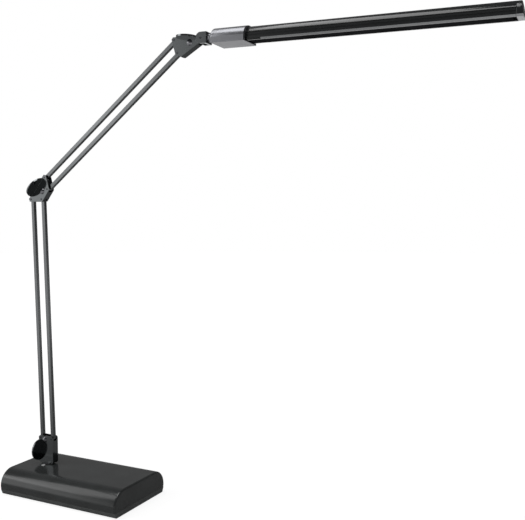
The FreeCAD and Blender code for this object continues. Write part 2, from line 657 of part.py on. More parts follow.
def arch(half, rise, skirt, bevel_wide=0.0, bevel_high=0.0):
    """An arched section: half an ellipse on short straight sides, as (Y, Z) edges."""
    low = -V["arch_drop"] - skirt
    right = [(half - bevel_wide, low), (half, low + bevel_high), (half, -V["arch_drop"])]
    corners = [(-y, z) for y, z in reversed(right)] + right
    edges = [Part.LineSegment(Vector(*a, 0), Vector(*b, 0))
             for a, b in zip(corners, corners[1:]) if a != b]
    if half > rise:
        oval = Part.Ellipse(Vector(0, -V["arch_drop"], 0), half, rise)
        edges.append(Part.ArcOfEllipse(oval, 0, math.pi))
    else:
        edges.append(arc((0, -V["arch_drop"]), half, 0, 180))
    return edges


# Collar: arched sleeve over the light bar's root, with a bored and chamfered rear wall.
collar_body = doc.addObject("PartDesign::Body", "collar_body")
pad(collar_body, "collar_pad",
    sketch(collar_body, "collar_section", "YZ_Plane",
           arch(V["collar_half"], V["collar_rise"], V["collar_skirt"]), collar_from),
    "collar_long")
socket_half = V["bar_half"] + V["bar_gap"]
pocket(collar_body, "collar_socket",
       sketch(collar_body, "socket_section", "YZ_Plane",
              arch(socket_half, socket_half, V["socket_skirt"]), collar_from + V["collar_end"]),
       "collar_long", backwards=True)
doc.recompute()
pocket(collar_body, "collar_bore",
       sketch(collar_body, "bore_section", "YZ_Plane", circle((0, 0), V["spindle_radius"] + V["run_gap"]),
              collar_from - V["overrun"]),
       "collar_end + 2 * overrun", backwards=True)
doc.recompute()
rear = [i for i, f in enumerate(collar_body.Shape.Edges, start=1)
        if abs(f.BoundBox.XMax - collar_from) < V["fit_gap"] and f.BoundBox.DiagonalLength > V["collar_half"]]
bored_collar = collar_body.Tip
bevel = collar_body.newObject("PartDesign::Chamfer", "collar_bevel")
bevel.Base = (bored_collar, ["Edge%d" % i for i in rear])
bind(bevel, Size="collar_chamfer")
node(lay(collar_body), "head_collar")

# Light bar: arched extrusion with grooved sides; past its root, a rail below with the lamp channel.
bar_from = collar_from + V["bar_start"]
rail_from = collar_from + V["collar_long"] + V["rail_from"]
bar_low = -V["arch_drop"] - V["bar_skirt"]
lens_low = bar_low + V["lens_recess"]
lens_high = lens_low + V["lens_thick"]
ledge_high = lens_high + V["lens_ledge"]
channel_top = bar_low + V["channel_deep"]
tongue = V["channel_half"] + V["lens_tongue"]
bar_body = doc.addObject("PartDesign::Body", "bar_body")
pad(bar_body, "bar_pad",
    sketch(bar_body, "bar_section", "YZ_Plane",
           arch(V["bar_half"], V["bar_half"], V["bar_skirt"], V["bar_bevel_wide"], V["bar_bevel_high"]),
           bar_from),
    "bar_long")
channel_outline = polygon([
    (-V["channel_half"], bar_low - V["overrun"]), (V["channel_half"], bar_low - V["overrun"]),
    (V["channel_half"], lens_low), (tongue, lens_low), (tongue, lens_high), (V["channel_half"], lens_high),
    (V["channel_half"], ledge_high), (V["cavity_half"], ledge_high), (V["cavity_half"], channel_top),
    (-V["cavity_half"], channel_top), (-V["cavity_half"], ledge_high), (-V["channel_half"], ledge_high),
    (-V["channel_half"], lens_high), (-tongue, lens_high), (-tongue, lens_low),
    (-V["channel_half"], lens_low),
])
pocket(bar_body, "bar_channel",
       sketch(bar_body, "channel_section", "YZ_Plane", channel_outline, rail_from),
       "bar_long", backwards=True)
pocket(bar_body, "bar_root",
       sketch(bar_body, "root_section", "YZ_Plane",
              rectangle(-2 * V["bar_half"], bar_low - V["overrun"],
                        2 * V["bar_half"], bar_low + V["rail_high"]),
              bar_from - V["overrun"]),
       "overrun + collar_long - bar_start + rail_from", backwards=True)
groove_tops = [-V["arch_drop"] + V["groove_pitch"] * step for step in (0, 1)]
grooves = []
for side in (-1, 1):
    for top in groove_tops:
        reach = math.sqrt(V["bar_half"] ** 2 - (top + V["arch_drop"]) ** 2)
        inner, outer = side * (reach - V["groove_deep"]), side * (V["bar_half"] + V["overrun"])
        grooves += rectangle(min(inner, outer), top - V["groove_high"], max(inner, outer), top)
pocket(bar_body, "bar_grooves",
       sketch(bar_body, "groove_section", "YZ_Plane", grooves, bar_from - V["overrun"]),
       "bar_long + 2 * overrun", backwards=True)
node(lay(bar_body), "light_bar")

cap_from = bar_from + V["bar_long"]

# Lamp: circuit board with a row of chips at the channel's top, lens at its mouth.
lamp_half = V["cavity_half"] - V["fit_gap"]
rail_long = "bar_long + bar_start - collar_long - rail_from - cap_plug"
lamp_board = box("lamp_board", rail_long + " - fit_gap", "2 * cavity_half - 2 * fit_gap", "board_thick",
                 Vector(rail_from + V["fit_gap"], -lamp_half, channel_top - V["board_thick"]))
node(lay(lamp_board), "led_board")
chip_run = cap_from - V["cap_plug"] - 2 * V["chip_margin"] - rail_from
chip_count = int(chip_run // V["chip_pitch"]) + 1
chip_start = cap_from - V["cap_plug"] - V["chip_margin"]
chips = []
for step in range(chip_count):
    place = Vector(chip_start - step * V["chip_pitch"] - V["chip_side"] / 2, -V["chip_side"] / 2,
                   channel_top - V["board_thick"] - V["chip_high"])
    chips.append(box("chip", "chip_side", "chip_side", "chip_high", place))
chip_row = doc.addObject("Part::Compound", "chip_row")
chip_row.Links = chips
node(lay(chip_row), "led_chips")
node(lay(box("lens", rail_long + " - fit_gap", "2 * channel_half + 2 * lens_tongue - 2 * fit_gap",
             "lens_thick - 2 * fit_gap",
             Vector(rail_from + V["fit_gap"], -tongue + V["fit_gap"], lens_low + V["fit_gap"]))),
     "diffuser_lens")

# End cap: closes the bar, its lower lip a little longer than its top.
cap_top = V["bar_half"] - V["arch_drop"]
cap_outline = polygon([(cap_from, bar_low), (cap_from + V["cap_thick"] + V["cap_slope"], bar_low),
                       (cap_from + V["cap_thick"], cap_top), (cap_from, cap_top)])
cap_body = doc.addObject("PartDesign::Body", "cap_body")
pad(cap_body, "cap_side", sketch(cap_body, "cap_outline", "XZ_Plane", cap_outline), "2 * bar_half",
    midplane=True)
cap_section = doc.addObject("PartDesign::Body", "cap_section")
pad(cap_section, "cap_arch",
    sketch(cap_section, "cap_arch_outline", "YZ_Plane",
           arch(V["bar_half"], V["bar_half"], V["bar_skirt"], V["bar_bevel_wide"], V["bar_bevel_high"]),
           cap_from),
    "cap_thick + cap_slope")
cap_round = doc.addObject("Part::Common", "cap_round")
cap_round.Base = cap_body
cap_round.Tool = cap_section
plug_low = ledge_high + V["fit_gap"]
plug = box("plug", "cap_plug", "2 * cavity_half - 2 * fit_gap", "chip_high + chip_side",
           Vector(cap_from - V["cap_plug"], -lamp_half, plug_low))
node(lay(fuse("cap", [cap_round, plug])), "end_cap")

doc.recompute()
for item in doc.Objects:
    if "Invalid" in item.State or "Error" in item.State:
        raise RuntimeError("%s failed: %s" % (item.Label, item.State))
os.makedirs("parts", exist_ok=True)
for item in NODES:
    shape = item.Shape
    if shape.isNull() or not shape.isValid():
        raise RuntimeError("%s has no valid shape" % item.Label)
    print("%-18s solids %2d  volume %9.1f" % (item.Label, len(shape.Solids), shape.Volume))
    shape.exportStep("parts/%s.step" % item.Label)
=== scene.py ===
"""LED table lamp: finished pieces, finishes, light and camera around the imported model.

Metres, in the model's own frame: origin under the middle of the base, +X along the base
towards the light bar, +Z up, the arm's plane at Y = 0.
"""

import json
import logging
import math
from dataclasses import dataclass
from enum import Enum
from functools import lru_cache
from typing import Any, Callable, Iterable, Sequence, Union

import bmesh
import bpy
from mathutils import Matrix, Vector


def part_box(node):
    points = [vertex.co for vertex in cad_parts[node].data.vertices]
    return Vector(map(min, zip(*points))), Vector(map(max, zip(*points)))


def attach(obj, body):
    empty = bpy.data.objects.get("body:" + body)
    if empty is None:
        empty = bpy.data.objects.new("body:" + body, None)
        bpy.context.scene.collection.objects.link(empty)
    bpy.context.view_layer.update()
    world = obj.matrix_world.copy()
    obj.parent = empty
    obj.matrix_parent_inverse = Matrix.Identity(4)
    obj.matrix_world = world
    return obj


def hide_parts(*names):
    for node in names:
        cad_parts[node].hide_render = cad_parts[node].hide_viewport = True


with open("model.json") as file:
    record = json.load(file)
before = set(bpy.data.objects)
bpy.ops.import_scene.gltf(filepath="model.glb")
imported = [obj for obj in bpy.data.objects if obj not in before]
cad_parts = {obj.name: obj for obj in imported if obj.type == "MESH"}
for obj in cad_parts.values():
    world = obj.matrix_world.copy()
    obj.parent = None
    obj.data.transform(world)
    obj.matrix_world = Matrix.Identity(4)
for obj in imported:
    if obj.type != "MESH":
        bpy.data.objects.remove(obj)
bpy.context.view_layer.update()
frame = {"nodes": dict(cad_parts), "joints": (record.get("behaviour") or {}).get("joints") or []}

LOG = logging.getLogger("lamp")
MM = 0.001
UP = Vector((0.0, 0.0, 1.0))
FLAT_ANGLE = 0.5         # degrees; a bend below this counts as flat
COPLANAR = 0.4           # degrees; faces within this are merged
SMOOTH_ANGLE = 32.0      # degrees; edges below this are shaded smooth
SHARP_ANGLE = 40.0       # degrees; edges above this get rounded over, or stay sharp on a carved piece
LIKE_SIZE = 0.2          # share of a face's area above which a neighbour is of like size
MERGE = 1e-6             # metres; points within this are one
ROUND_PROFILE = 0.5      # a rounding whose section is an arc
ROUND_STEPS = 3          # facets across a rounding
TURN_STEPS = 40          # facets round a turned piece
PLUG_SIDES = 20          # facets round a small plug or a screw's shank
SCREW_SIDES = 28         # facets round a screw's head
SLOT_SHARE = 3.0         # a slot cutter's length in head radii
Colour = tuple[float, float, float]
Place = tuple[float, float, float]
Point = tuple[float, float]
Number = Union["Wire", float]
Sockets = dict[Any, Any]


# Shader maths
class Wire:
    """A node's socket that takes part in Python arithmetic."""

    def __init__(self, bench: "Bench", socket: bpy.types.NodeSocket) -> None:
        """Keep the socket and the bench whose tree it belongs to."""
        self.bench = bench
        self.socket = socket

    def _math(self, operation: str, first: Number, second: Number) -> "Wire":
        """Add one Math node.

        Args:
            operation: The Math node's operation.
            first: Left operand.
            second: Right operand.

        Returns:
            The node's output.
        """
        return self.bench.wire("ShaderNodeMath", {"operation": operation}, {0: first, 1: second})

    def __add__(self, other: Number) -> "Wire":
        """Sum."""
        return self._math("ADD", self, other)

    def __radd__(self, other: Number) -> "Wire":
        """Sum, reflected."""
        return self._math("ADD", other, self)

    def __sub__(self, other: Number) -> "Wire":
        """Difference."""
        return self._math("SUBTRACT", self, other)

    def __rsub__(self, other: Number) -> "Wire":
        """Difference, reflected."""
        return self._math("SUBTRACT", other, self)

    def __mul__(self, other: Number) -> "Wire":
        """Product."""
        return self._math("MULTIPLY", self, other)

    def __rmul__(self, other: Number) -> "Wire":
        """Product, reflected."""
        return self._math("MULTIPLY", other, self)

    def between(self, low: float, high: float) -> "Wire":
        """Smooth 0 to 1 step between two values.

        Args:
            low: Value that gives 0.
            high: Value that gives 1.

        Returns:
            The clamped step.
        """
        return self.bench.wire("ShaderNodeMapRange", {"interpolation_type": "SMOOTHSTEP"},
                               {"Value": self, "From Min": low, "From Max": high})


class Bench:
    """Adds nodes to one tree."""

    def __init__(self, tree: bpy.types.NodeTree) -> None:
        """Start from an empty tree."""
        self.tree = tree
        tree.nodes.clear()

    def add(self, kind: str, settings: dict[str, Any] | None = None,
            sockets: Sockets | None = None) -> bpy.types.Node:
        """Add any node, set its options, then its sockets' values or links.

        Args:
            kind: The node's type.
            settings: Options such as an operation.
            sockets: Values or wires by socket name or number.

        Returns:
            The node.
        """
        node = self.tree.nodes.new(kind)
        for key, value in (settings or {}).items():
            setattr(node, key, value)
        for key, value in (sockets or {}).items():
            target = node.inputs[key]
            if isinstance(value, Wire):
                self.tree.links.new(value.socket, target)
            else:
                target.default_value = value
        return node

    def wire(self, kind: str, settings: dict[str, Any] | None = None,
             sockets: Sockets | None = None, out: Any = 0) -> Wire:
        """Add a node and give one of its outputs.

        Args:
            kind: The node's type.
            settings: Options of the node.
            sockets: Values or wires of its inputs.
            out: Output name or number.

        Returns:
            The output as a wire.
        """
        return Wire(self, self.add(kind, settings, sockets).outputs[out])

    def place(self, stretch: Place = (1.0, 1.0, 1.0), slope: float = 0.0) -> Wire:
        """Object coordinates, turned about Y and then stretched along the axes.

        Args:
            stretch: Scale along each turned axis.
            slope: Slope of the pattern's own X above the horizontal, in degrees.

        Returns:
            The coordinates.
        """
        spot = self.wire("ShaderNodeTexCoord", out="Object")
        turned_spot = self.wire("ShaderNodeMapping", {},
                                {"Vector": spot, "Rotation": (0.0, math.radians(slope), 0.0)})
        return self.wire("ShaderNodeMapping", {}, {"Vector": turned_spot, "Scale": stretch})

    def noise(self, per_metre: float, detail: float = 3.0, stretch: Place = (1.0, 1.0, 1.0),
              slope: float = 0.0) -> Wire:
        """Cloudy noise over Object coordinates, 0 to 1.

        Args:
            per_metre: Features to a metre.
            detail: Octaves.
            stretch: Scale along each axis.
            slope: Slope of the pattern's own X, in degrees.

        Returns:
            The noise value.
        """
        return self.wire("ShaderNodeTexNoise", {},
                         {"Vector": self.place(stretch, slope), "Scale": per_metre, "Detail": detail})

    def blend(self, share: Number, low: Colour, high: Colour) -> Wire:
        """A colour between two.

        Args:
            share: 0 for low, 1 for high.
            low: First colour.
            high: Second colour.

        Returns:
            The mixed colour.
        """
        return self.wire("ShaderNodeMix", {"data_type": "RGBA"},
                         {0: share, 6: (*low, 1.0), 7: (*high, 1.0)}, out=2)

    def bump(self, height: Number, strength: float, depth: float) -> Wire:
        """A Bump node's normal.

        Args:
            height: 0 to 1 height.
            strength: Share of the effect.
            depth: Height of 1, in metres.

        Returns:
            The bent normal.
        """
        return self.wire("ShaderNodeBump", {}, {"Strength": strength, "Distance": depth, "Height": height})

    def rays(self) -> tuple[Wire, Wire, Wire]:
        """What kind of ray asks for light, each 0 or 1.

        Returns:
            Whether it comes from the camera, from a mirrored or clear surface, or from a matt one.
        """
        path = self.add("ShaderNodeLightPath").outputs
        mirrored = Wire(self, path["Is Glossy Ray"]) + Wire(self, path["Is Transmission Ray"])
        return Wire(self, path["Is Camera Ray"]), mirrored, Wire(self, path["Is Diffuse Ray"])


# Finishes
@dataclass(frozen=True)
class Coating:
    """What every finish has: the two colours that it lies between and the limits of its gloss."""

    name: str
    dark: Colour
    light: Colour
    rough_low: float
    rough_high: float

    def material(self) -> bpy.types.Material:
        """The finish as a material of one Principled shader.

        Returns:
            The material.
        """
        material = bpy.data.materials.new(self.name)
        material.use_nodes = True
        bench = Bench(material.node_tree)
        shader = bench.wire("ShaderNodeBsdfPrincipled", {}, self.dress(bench))
        bench.add("ShaderNodeOutputMaterial", {}, {"Surface": shader})
        return material

    def dress(self, bench: Bench) -> Sockets:
        """The shader's inputs, which each kind of finish gives.

        Args:
            bench: The material's bench.

        Returns:
            Values and wires by socket name.
        """
        raise NotImplementedError

    def gloss(self, cloud: Wire) -> Wire:
        """Roughness that follows a cloudy noise."""
        return self.rough_low + (self.rough_high - self.rough_low) * cloud


@dataclass(frozen=True)
class Moulding(Coating):
    """Moulded plastic: near-even colour, a little peel or grain, gloss that varies softly."""

    grain_per_metre: float
    grain_depth: float
    grain_detail: float = 2.0
    grain_strength: float = 0.3
    cloud_per_metre: float = 45.0
    cloud_detail: float = 4.0
    cloud_edges: Point = (0.3, 0.7)
    specular: float = 0.5

    def dress(self, bench: Bench) -> Sockets:
        """The shader's inputs.

        Args:
            bench: The material's bench.

        Returns:
            Values and wires by socket name.
        """
        cloud = bench.noise(self.cloud_per_metre, self.cloud_detail)
        grain = bench.noise(self.grain_per_metre, self.grain_detail)
        return {"Base Color": bench.blend(cloud.between(*self.cloud_edges), self.dark, self.light),
                "Roughness": self.gloss(cloud),
                "Specular IOR Level": self.specular,
                "Normal": bench.bump(grain, self.grain_strength, self.grain_depth)}


@dataclass(frozen=True)
class Drawn(Coating):
    """Drawn or brushed metal: fine lines along one direction, handled a little duller in places."""

    metallic: float = 1.0
    slope: float = 0.0
    along: float = 0.03
    line_per_metre: float = 2600.0
    line_depth: float = 0.004 * MM
    line_detail: float = 2.0
    line_strength: float = 0.2
    line_share: float = 0.6
    cloud_per_metre: float = 40.0

    def dress(self, bench: Bench) -> Sockets:
        """The shader's inputs.

        Args:
            bench: The material's bench.

        Returns:
            Values and wires by socket name.
        """
        lines = bench.noise(self.line_per_metre, self.line_detail, (self.along, 1.0, 1.0), self.slope)
        cloud = bench.noise(self.cloud_per_metre)
        mottle = lines * self.line_share + cloud * (1.0 - self.line_share)
        return {"Base Color": bench.blend(mottle, self.dark, self.light),
                "Metallic": self.metallic,
                "Roughness": self.gloss(cloud),
                "Normal": bench.bump(lines, self.line_strength, self.line_depth)}


@dataclass(frozen=True)
class Flake(Coating):
    """Metallic paint: fine flakes in a grey coat."""

    metallic: float = 0.8
    flake_per_metre: float = 2600.0
    flake_share: float = 0.6
    cloud_per_metre: float = 70.0
    peel_per_metre: float = 1800.0
    peel_detail: float = 2.0
    peel_strength: float = 0.15
    peel_depth: float = 0.01 * MM

    def dress(self, bench: Bench) -> Sockets:
        """The shader's inputs.

        Args:
            bench: The material's bench.

        Returns:
            Values and wires by socket name.
        """
        cells = bench.wire("ShaderNodeTexVoronoi", {},
                           {"Vector": bench.place(), "Scale": self.flake_per_metre}, out="Color")
        spark = bench.wire("ShaderNodeSeparateColor", {}, {0: cells})
        cloud = bench.noise(self.cloud_per_metre)
        mottle = spark * self.flake_share + cloud * (1.0 - self.flake_share)
        peel = bench.noise(self.peel_per_metre, self.peel_detail)
        return {"Base Color": bench.blend(mottle, self.dark, self.light),
                "Metallic": self.metallic,
                "Roughness": self.gloss(cloud),
                "Normal": bench.bump(peel, self.peel_strength, self.peel_depth)}


class Finish(Enum):
    """The lamp's finishes."""

    GLOSS_BLACK = Moulding("gloss_black_moulding", (0.024, 0.0256, 0.0258), (0.031, 0.0333, 0.0335),
                           0.16, 0.22, 900.0, 0.008 * MM)
    SATIN_BLACK = Moulding("satin_black_moulding", (0.058, 0.062, 0.062), (0.074, 0.078, 0.078),
                           0.38, 0.5, 2200.0, 0.04 * MM)
    RUBBER = Moulding("foot_rubber", (0.016, 0.016, 0.016), (0.03, 0.03, 0.03), 0.75, 0.9, 1400.0, 0.1 * MM)
    NYLON = Moulding("washer_nylon", (0.02, 0.02, 0.02), (0.035, 0.035, 0.035), 0.4, 0.55, 1600.0, 0.03 * MM)
    BUTTON_WHITE = Moulding("button_white_moulding", (0.40, 0.41, 0.41), (0.48, 0.49, 0.49),
                            0.22, 0.34, 1200.0, 0.01 * MM)
    BOARD = Moulding("circuit_green", (0.01, 0.06, 0.03), (0.02, 0.11, 0.05), 0.3, 0.45, 900.0, 0.03 * MM)
    WHITE_BOARD = Moulding("circuit_white", (0.6, 0.61, 0.6), (0.74, 0.74, 0.72),
                           0.35, 0.5, 900.0, 0.02 * MM)
    LED_CASE = Moulding("lamp_chip_case", (0.75, 0.74, 0.7), (0.85, 0.84, 0.8), 0.3, 0.45, 3000.0, 0.01 * MM)
    LED_GLOW = Moulding("lamp_chip_phosphor", (0.75, 0.55, 0.08), (0.85, 0.66, 0.16),
                        0.35, 0.5, 3000.0, 0.02 * MM)
    LENS = Moulding("smoked_lens", (0.012, 0.012, 0.013), (0.022, 0.022, 0.024), 0.2, 0.3, 500.0, 0.01 * MM,
                    specular=0.0)
    STEEL = Drawn("zinc_steel", (0.42, 0.42, 0.42), (0.6, 0.6, 0.6), 0.25, 0.42, along=1.0)
    IRON = Drawn("cast_iron", (0.05, 0.05, 0.05), (0.1, 0.1, 0.1), 0.5, 0.7, metallic=0.7, along=1.0,
                 line_per_metre=400.0, line_depth=0.05 * MM)
    BOLT_DARK = Drawn("bolt_dark_chrome", (0.14, 0.14, 0.15), (0.17, 0.17, 0.18), 0.2, 0.3, along=1.0)
    # Black oxide of the pins; on the swivel post it is painted shade for the gap under the bracket
    PIN_DARK_AND_GAP_SHADE = Drawn("pin_oxide_and_gap_shade", (0.045, 0.045, 0.05), (0.07, 0.07, 0.075), 0.25, 0.4, along=1.0)
    GUNMETAL = Drawn("bracket_gunmetal", (0.122, 0.13, 0.132), (0.145, 0.153, 0.156), 0.09, 0.14,
                     slope=40.0, along=0.05, line_depth=0.0015 * MM)
    LOWER_BAR = Drawn("lower_bar_grey", (0.125, 0.13, 0.132), (0.152, 0.158, 0.161), 0.2, 0.3, slope=91.8)
    UPPER_BAR = Drawn("upper_bar_grey", (0.125, 0.13, 0.132), (0.152, 0.158, 0.161), 0.2, 0.3, slope=37.4)
    BAR_BLACK = Drawn("light_bar_black", (0.014, 0.015, 0.0155), (0.02, 0.021, 0.0215), 0.12, 0.2,
                      metallic=0.0, slope=-1.8)
    # Painted reflection: this light grey on the black rail's chamfer and the end cap's foot stands in for
    # the white floor mirrored there
    RAIL_PAINTED_REFLECTION = Drawn("rail_painted_floor_reflection", (0.34, 0.347, 0.353), (0.42, 0.428, 0.436), 0.26, 0.36,
                      metallic=0.55, slope=-1.8)
    COLLAR_GREY = Flake("collar_grey_paint", (0.19, 0.193, 0.206), (0.235, 0.239, 0.256), 0.3, 0.38)


@lru_cache(maxsize=None)
def coat(finish: Finish) -> bpy.types.Material:
    """The material of a finish, made once."""
    return finish.value.material()


# Mesh helpers
def joint_at(name: str) -> Vector:
    """Where a joint's axis passes.

    Args:
        name: The joint's name in the record.

    Returns:
        The point, in metres.
    """
    return Vector(next(j["pos_m"] for j in frame["joints"] if j["name"] == name))


def middle(node: str) -> Vector:
    """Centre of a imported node's box."""
    low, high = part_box(node)
    return (low + high) / 2


def redress(node: str, finish: Finish) -> None:
    """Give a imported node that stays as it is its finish."""
    for slot in frame["nodes"][node].material_slots:
        slot.material = coat(finish)


def patch_areas(bm: bmesh.types.BMesh) -> dict[bmesh.types.BMFace, float]:
    """Area of the flat patch that each face belongs to.

    Args:
        bm: The shape.

    Returns:
        Area by face, in square metres.
    """
    areas: dict[bmesh.types.BMFace, float] = {}
    for start in bm.faces:
        if start in areas:
            continue
        patch, queue = {start}, [start]
        while queue:
            for edge in queue.pop().edges:
                if math.degrees(edge.calc_face_angle(math.pi)) < FLAT_ANGLE:
                    fresh = [face for face in edge.link_faces if face not in patch]
                    patch.update(fresh)
                    queue.extend(fresh)
        total = sum(face.calc_area() for face in patch)
        areas.update((face, total) for face in patch)
    return areas


def shade(bm: bmesh.types.BMesh, mesh: bpy.types.Mesh, smooth_angle: float) -> None:
    """Write a bmesh to a mesh, its curved faces shaded smooth and its broad flats left flat.

    A patch counts as curved where a neighbour of like size meets it at a gentle angle, so a narrow
    rounding doesn't bend the gloss of the flat beside it.

    Args:
        bm: The shape, freed here.
        mesh: The mesh to fill.
        smooth_angle: Edges above this angle, in degrees, are sharp.
    """
    areas = patch_areas(bm)
    curved = [any(FLAT_ANGLE < math.degrees(edge.calc_face_angle(0.0)) < smooth_angle
                  and areas[other] > LIKE_SIZE * areas[face]
                  for edge in face.edges for other in edge.link_faces if other is not face)
              for face in bm.faces]
    bm.to_mesh(mesh)
    bm.free()
    mesh.set_sharp_from_angle(angle=math.radians(smooth_angle))
    mesh.polygons.foreach_set("use_smooth", curved)


def as_object(bm: bmesh.types.BMesh, name: str) -> bpy.types.Object:
    """Turn a bmesh into an object in the scene.

    Args:
        bm: The shape, freed here.
        name: The piece's name.

    Returns:
        The new object, at the origin.
    """
    mesh = bpy.data.meshes.new(name)
    shade(bm, mesh, SMOOTH_ANGLE)
    item = bpy.data.objects.new(name, mesh)
    bpy.context.scene.collection.objects.link(item)
    return item


def fit(item: bpy.types.Object, body: str, finish: Finish, slot: str, *nodes: str) -> None:
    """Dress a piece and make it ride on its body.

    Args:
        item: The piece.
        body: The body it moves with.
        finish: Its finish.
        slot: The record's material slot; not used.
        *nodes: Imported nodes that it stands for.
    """
    item.data.materials.clear()
    item.data.materials.append(coat(finish))
    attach(item, body)
    if nodes:
        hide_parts(*nodes)
    LOG.info("piece %s on %s", item.name, body)


def softened(node: str, name: str, width: float) -> bpy.types.Object:
    """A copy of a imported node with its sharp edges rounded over.

    Args:
        node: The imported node.
        name: The piece's name.
        width: Rounding, in metres.

    Returns:
        The new object.
    """
    source = frame["nodes"][node].data
    plain = bpy.data.meshes.new(name + "_plain")
    plain.from_pydata([v.co[:] for v in source.vertices], [], [p.vertices[:] for p in source.polygons])
    bm = bmesh.new()
    bm.from_mesh(plain)
    bpy.data.meshes.remove(plain)
    bmesh.ops.remove_doubles(bm, verts=bm.verts, dist=MERGE)
    bmesh.ops.dissolve_limit(bm, angle_limit=math.radians(COPLANAR), verts=bm.verts, edges=bm.edges)
    sharp = [e for e in bm.edges if e.is_manifold and e.calc_face_angle(0.0) > math.radians(SHARP_ANGLE)]
    bmesh.ops.bevel(bm, geom=sharp, offset=width, offset_type="OFFSET", segments=ROUND_STEPS,
                    profile=ROUND_PROFILE, affect="EDGES", clamp_overlap=True)
    return as_object(bm, name)


def fit_softened(node: str, name: str, width: float, body: str, finish: Finish, slot: str) -> None:
    """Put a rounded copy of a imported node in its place.

    Args:
        node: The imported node.
        name: The piece's name.
        width: Rounding, in metres.
        body: The body it moves with.
        finish: Its finish.
        slot: The record's material slot.
    """
    fit(softened(node, name, width), body, finish, slot, node)


def loft(name: str, rings: Sequence[Sequence[Vector]]) -> bpy.types.Object:
    """A closed skin through rings of equal count, flat at both ends.

    Args:
        name: The piece's name.
        rings: Closed rings of points, in order.

    Returns:
        The new object.
    """
    bm = bmesh.new()
    loops = [[bm.verts.new(p) for p in ring] for ring in rings]
    count = len(loops[0])
    for first, second in zip(loops, loops[1:]):
        for i in range(count):
            j = (i + 1) % count
            bm.faces.new((first[i], first[j], second[j], second[i]))
    bm.faces.new(loops[0])
    bm.faces.new(loops[-1])
    bmesh.ops.recalc_face_normals(bm, faces=bm.faces)
    return as_object(bm, name)


def turned(name: str, profile: Sequence[Point], centre: Vector, axis: Vector = UP,
           steps: int = TURN_STEPS) -> bpy.types.Object:
    """A turned piece: a profile spun round an axis.

    Args:
        name: The piece's name.
        profile: (radius, height along the axis) points, first and last on the axis.
        centre: Point of height 0.
        axis: Unit direction of the axis.
        steps: Facets round the axis.

    Returns:
        The new object.
    """
    bm = bmesh.new()
    points = [bm.verts.new((r, 0.0, h)) for r, h in profile]
    edges = [bm.edges.new(pair) for pair in zip(points, points[1:])]
    bmesh.ops.spin(bm, geom=points + edges, cent=(0, 0, 0), axis=(0, 0, 1), dvec=(0, 0, 0),
                   angle=math.tau, steps=steps, use_duplicate=False)
    bmesh.ops.remove_doubles(bm, verts=bm.verts, dist=MERGE)
    bmesh.ops.recalc_face_normals(bm, faces=bm.faces)
    turn = UP.rotation_difference(axis).to_matrix().to_4x4()
    bm.transform(Matrix.Translation(centre) @ turn)
    return as_object(bm, name)


def carved(item: bpy.types.Object, cutters: Iterable[bpy.types.Object]) -> bpy.types.Object:
    """Cut shapes out of a piece and keep the result as a plain mesh.

    Args:
        item: The piece.
        cutters: Closed shapes, removed afterwards.

    Returns:
        The piece.
    """
    for cutter in list(cutters):
        cut = item.modifiers.new("cut", "BOOLEAN")
        cut.operation, cut.solver, cut.object = "DIFFERENCE", "EXACT", cutter
        graph = bpy.context.evaluated_depsgraph_get()
        mesh = bpy.data.meshes.new_from_object(item.evaluated_get(graph))
        item.modifiers.remove(cut)
        old, item.data = item.data, mesh
        bpy.data.meshes.remove(old)
        bpy.data.objects.remove(cutter)
    bm = bmesh.new()
    bm.from_mesh(item.data)
    bmesh.ops.dissolve_limit(bm, angle_limit=math.radians(COPLANAR), verts=bm.verts, edges=bm.edges)
    shade(bm, item.data, SHARP_ANGLE)
    return item


def block(name: str, low: Vector, high: Vector) -> bpy.types.Object:
    """A plain box, for cutting.

    Args:
        name: The box's name.
        low: Its lowest corner.
        high: Its highest corner.

    Returns:
        The new object.
    """
    bm = bmesh.new()
    bmesh.ops.create_cube(bm, size=1.0)
    bm.transform(Matrix.Translation((low + high) / 2) @ Matrix.Diagonal((*(high - low), 1.0)))
    return as_object(bm, name)


def arc(centre: Point, radius: float, start: float, stop: float, steps: int) -> list[Point]:
    """Points of an arc.

    Args:
        centre: Its centre.
        radius: Its radius.
        start: First angle, in degrees.
        stop: Last angle, in degrees.
        steps: Chords along it.

    Returns:
        The points, both ends included.
    """
    turns = [math.radians(start + (stop - start) * i / steps) for i in range(steps + 1)]
    return [(centre[0] + radius * math.cos(t), centre[1] + radius * math.sin(t)) for t in turns]


# Repeated pieces
Sizes = dict[str, Wire]
Grow = Callable[[Bench, Sizes], Wire]


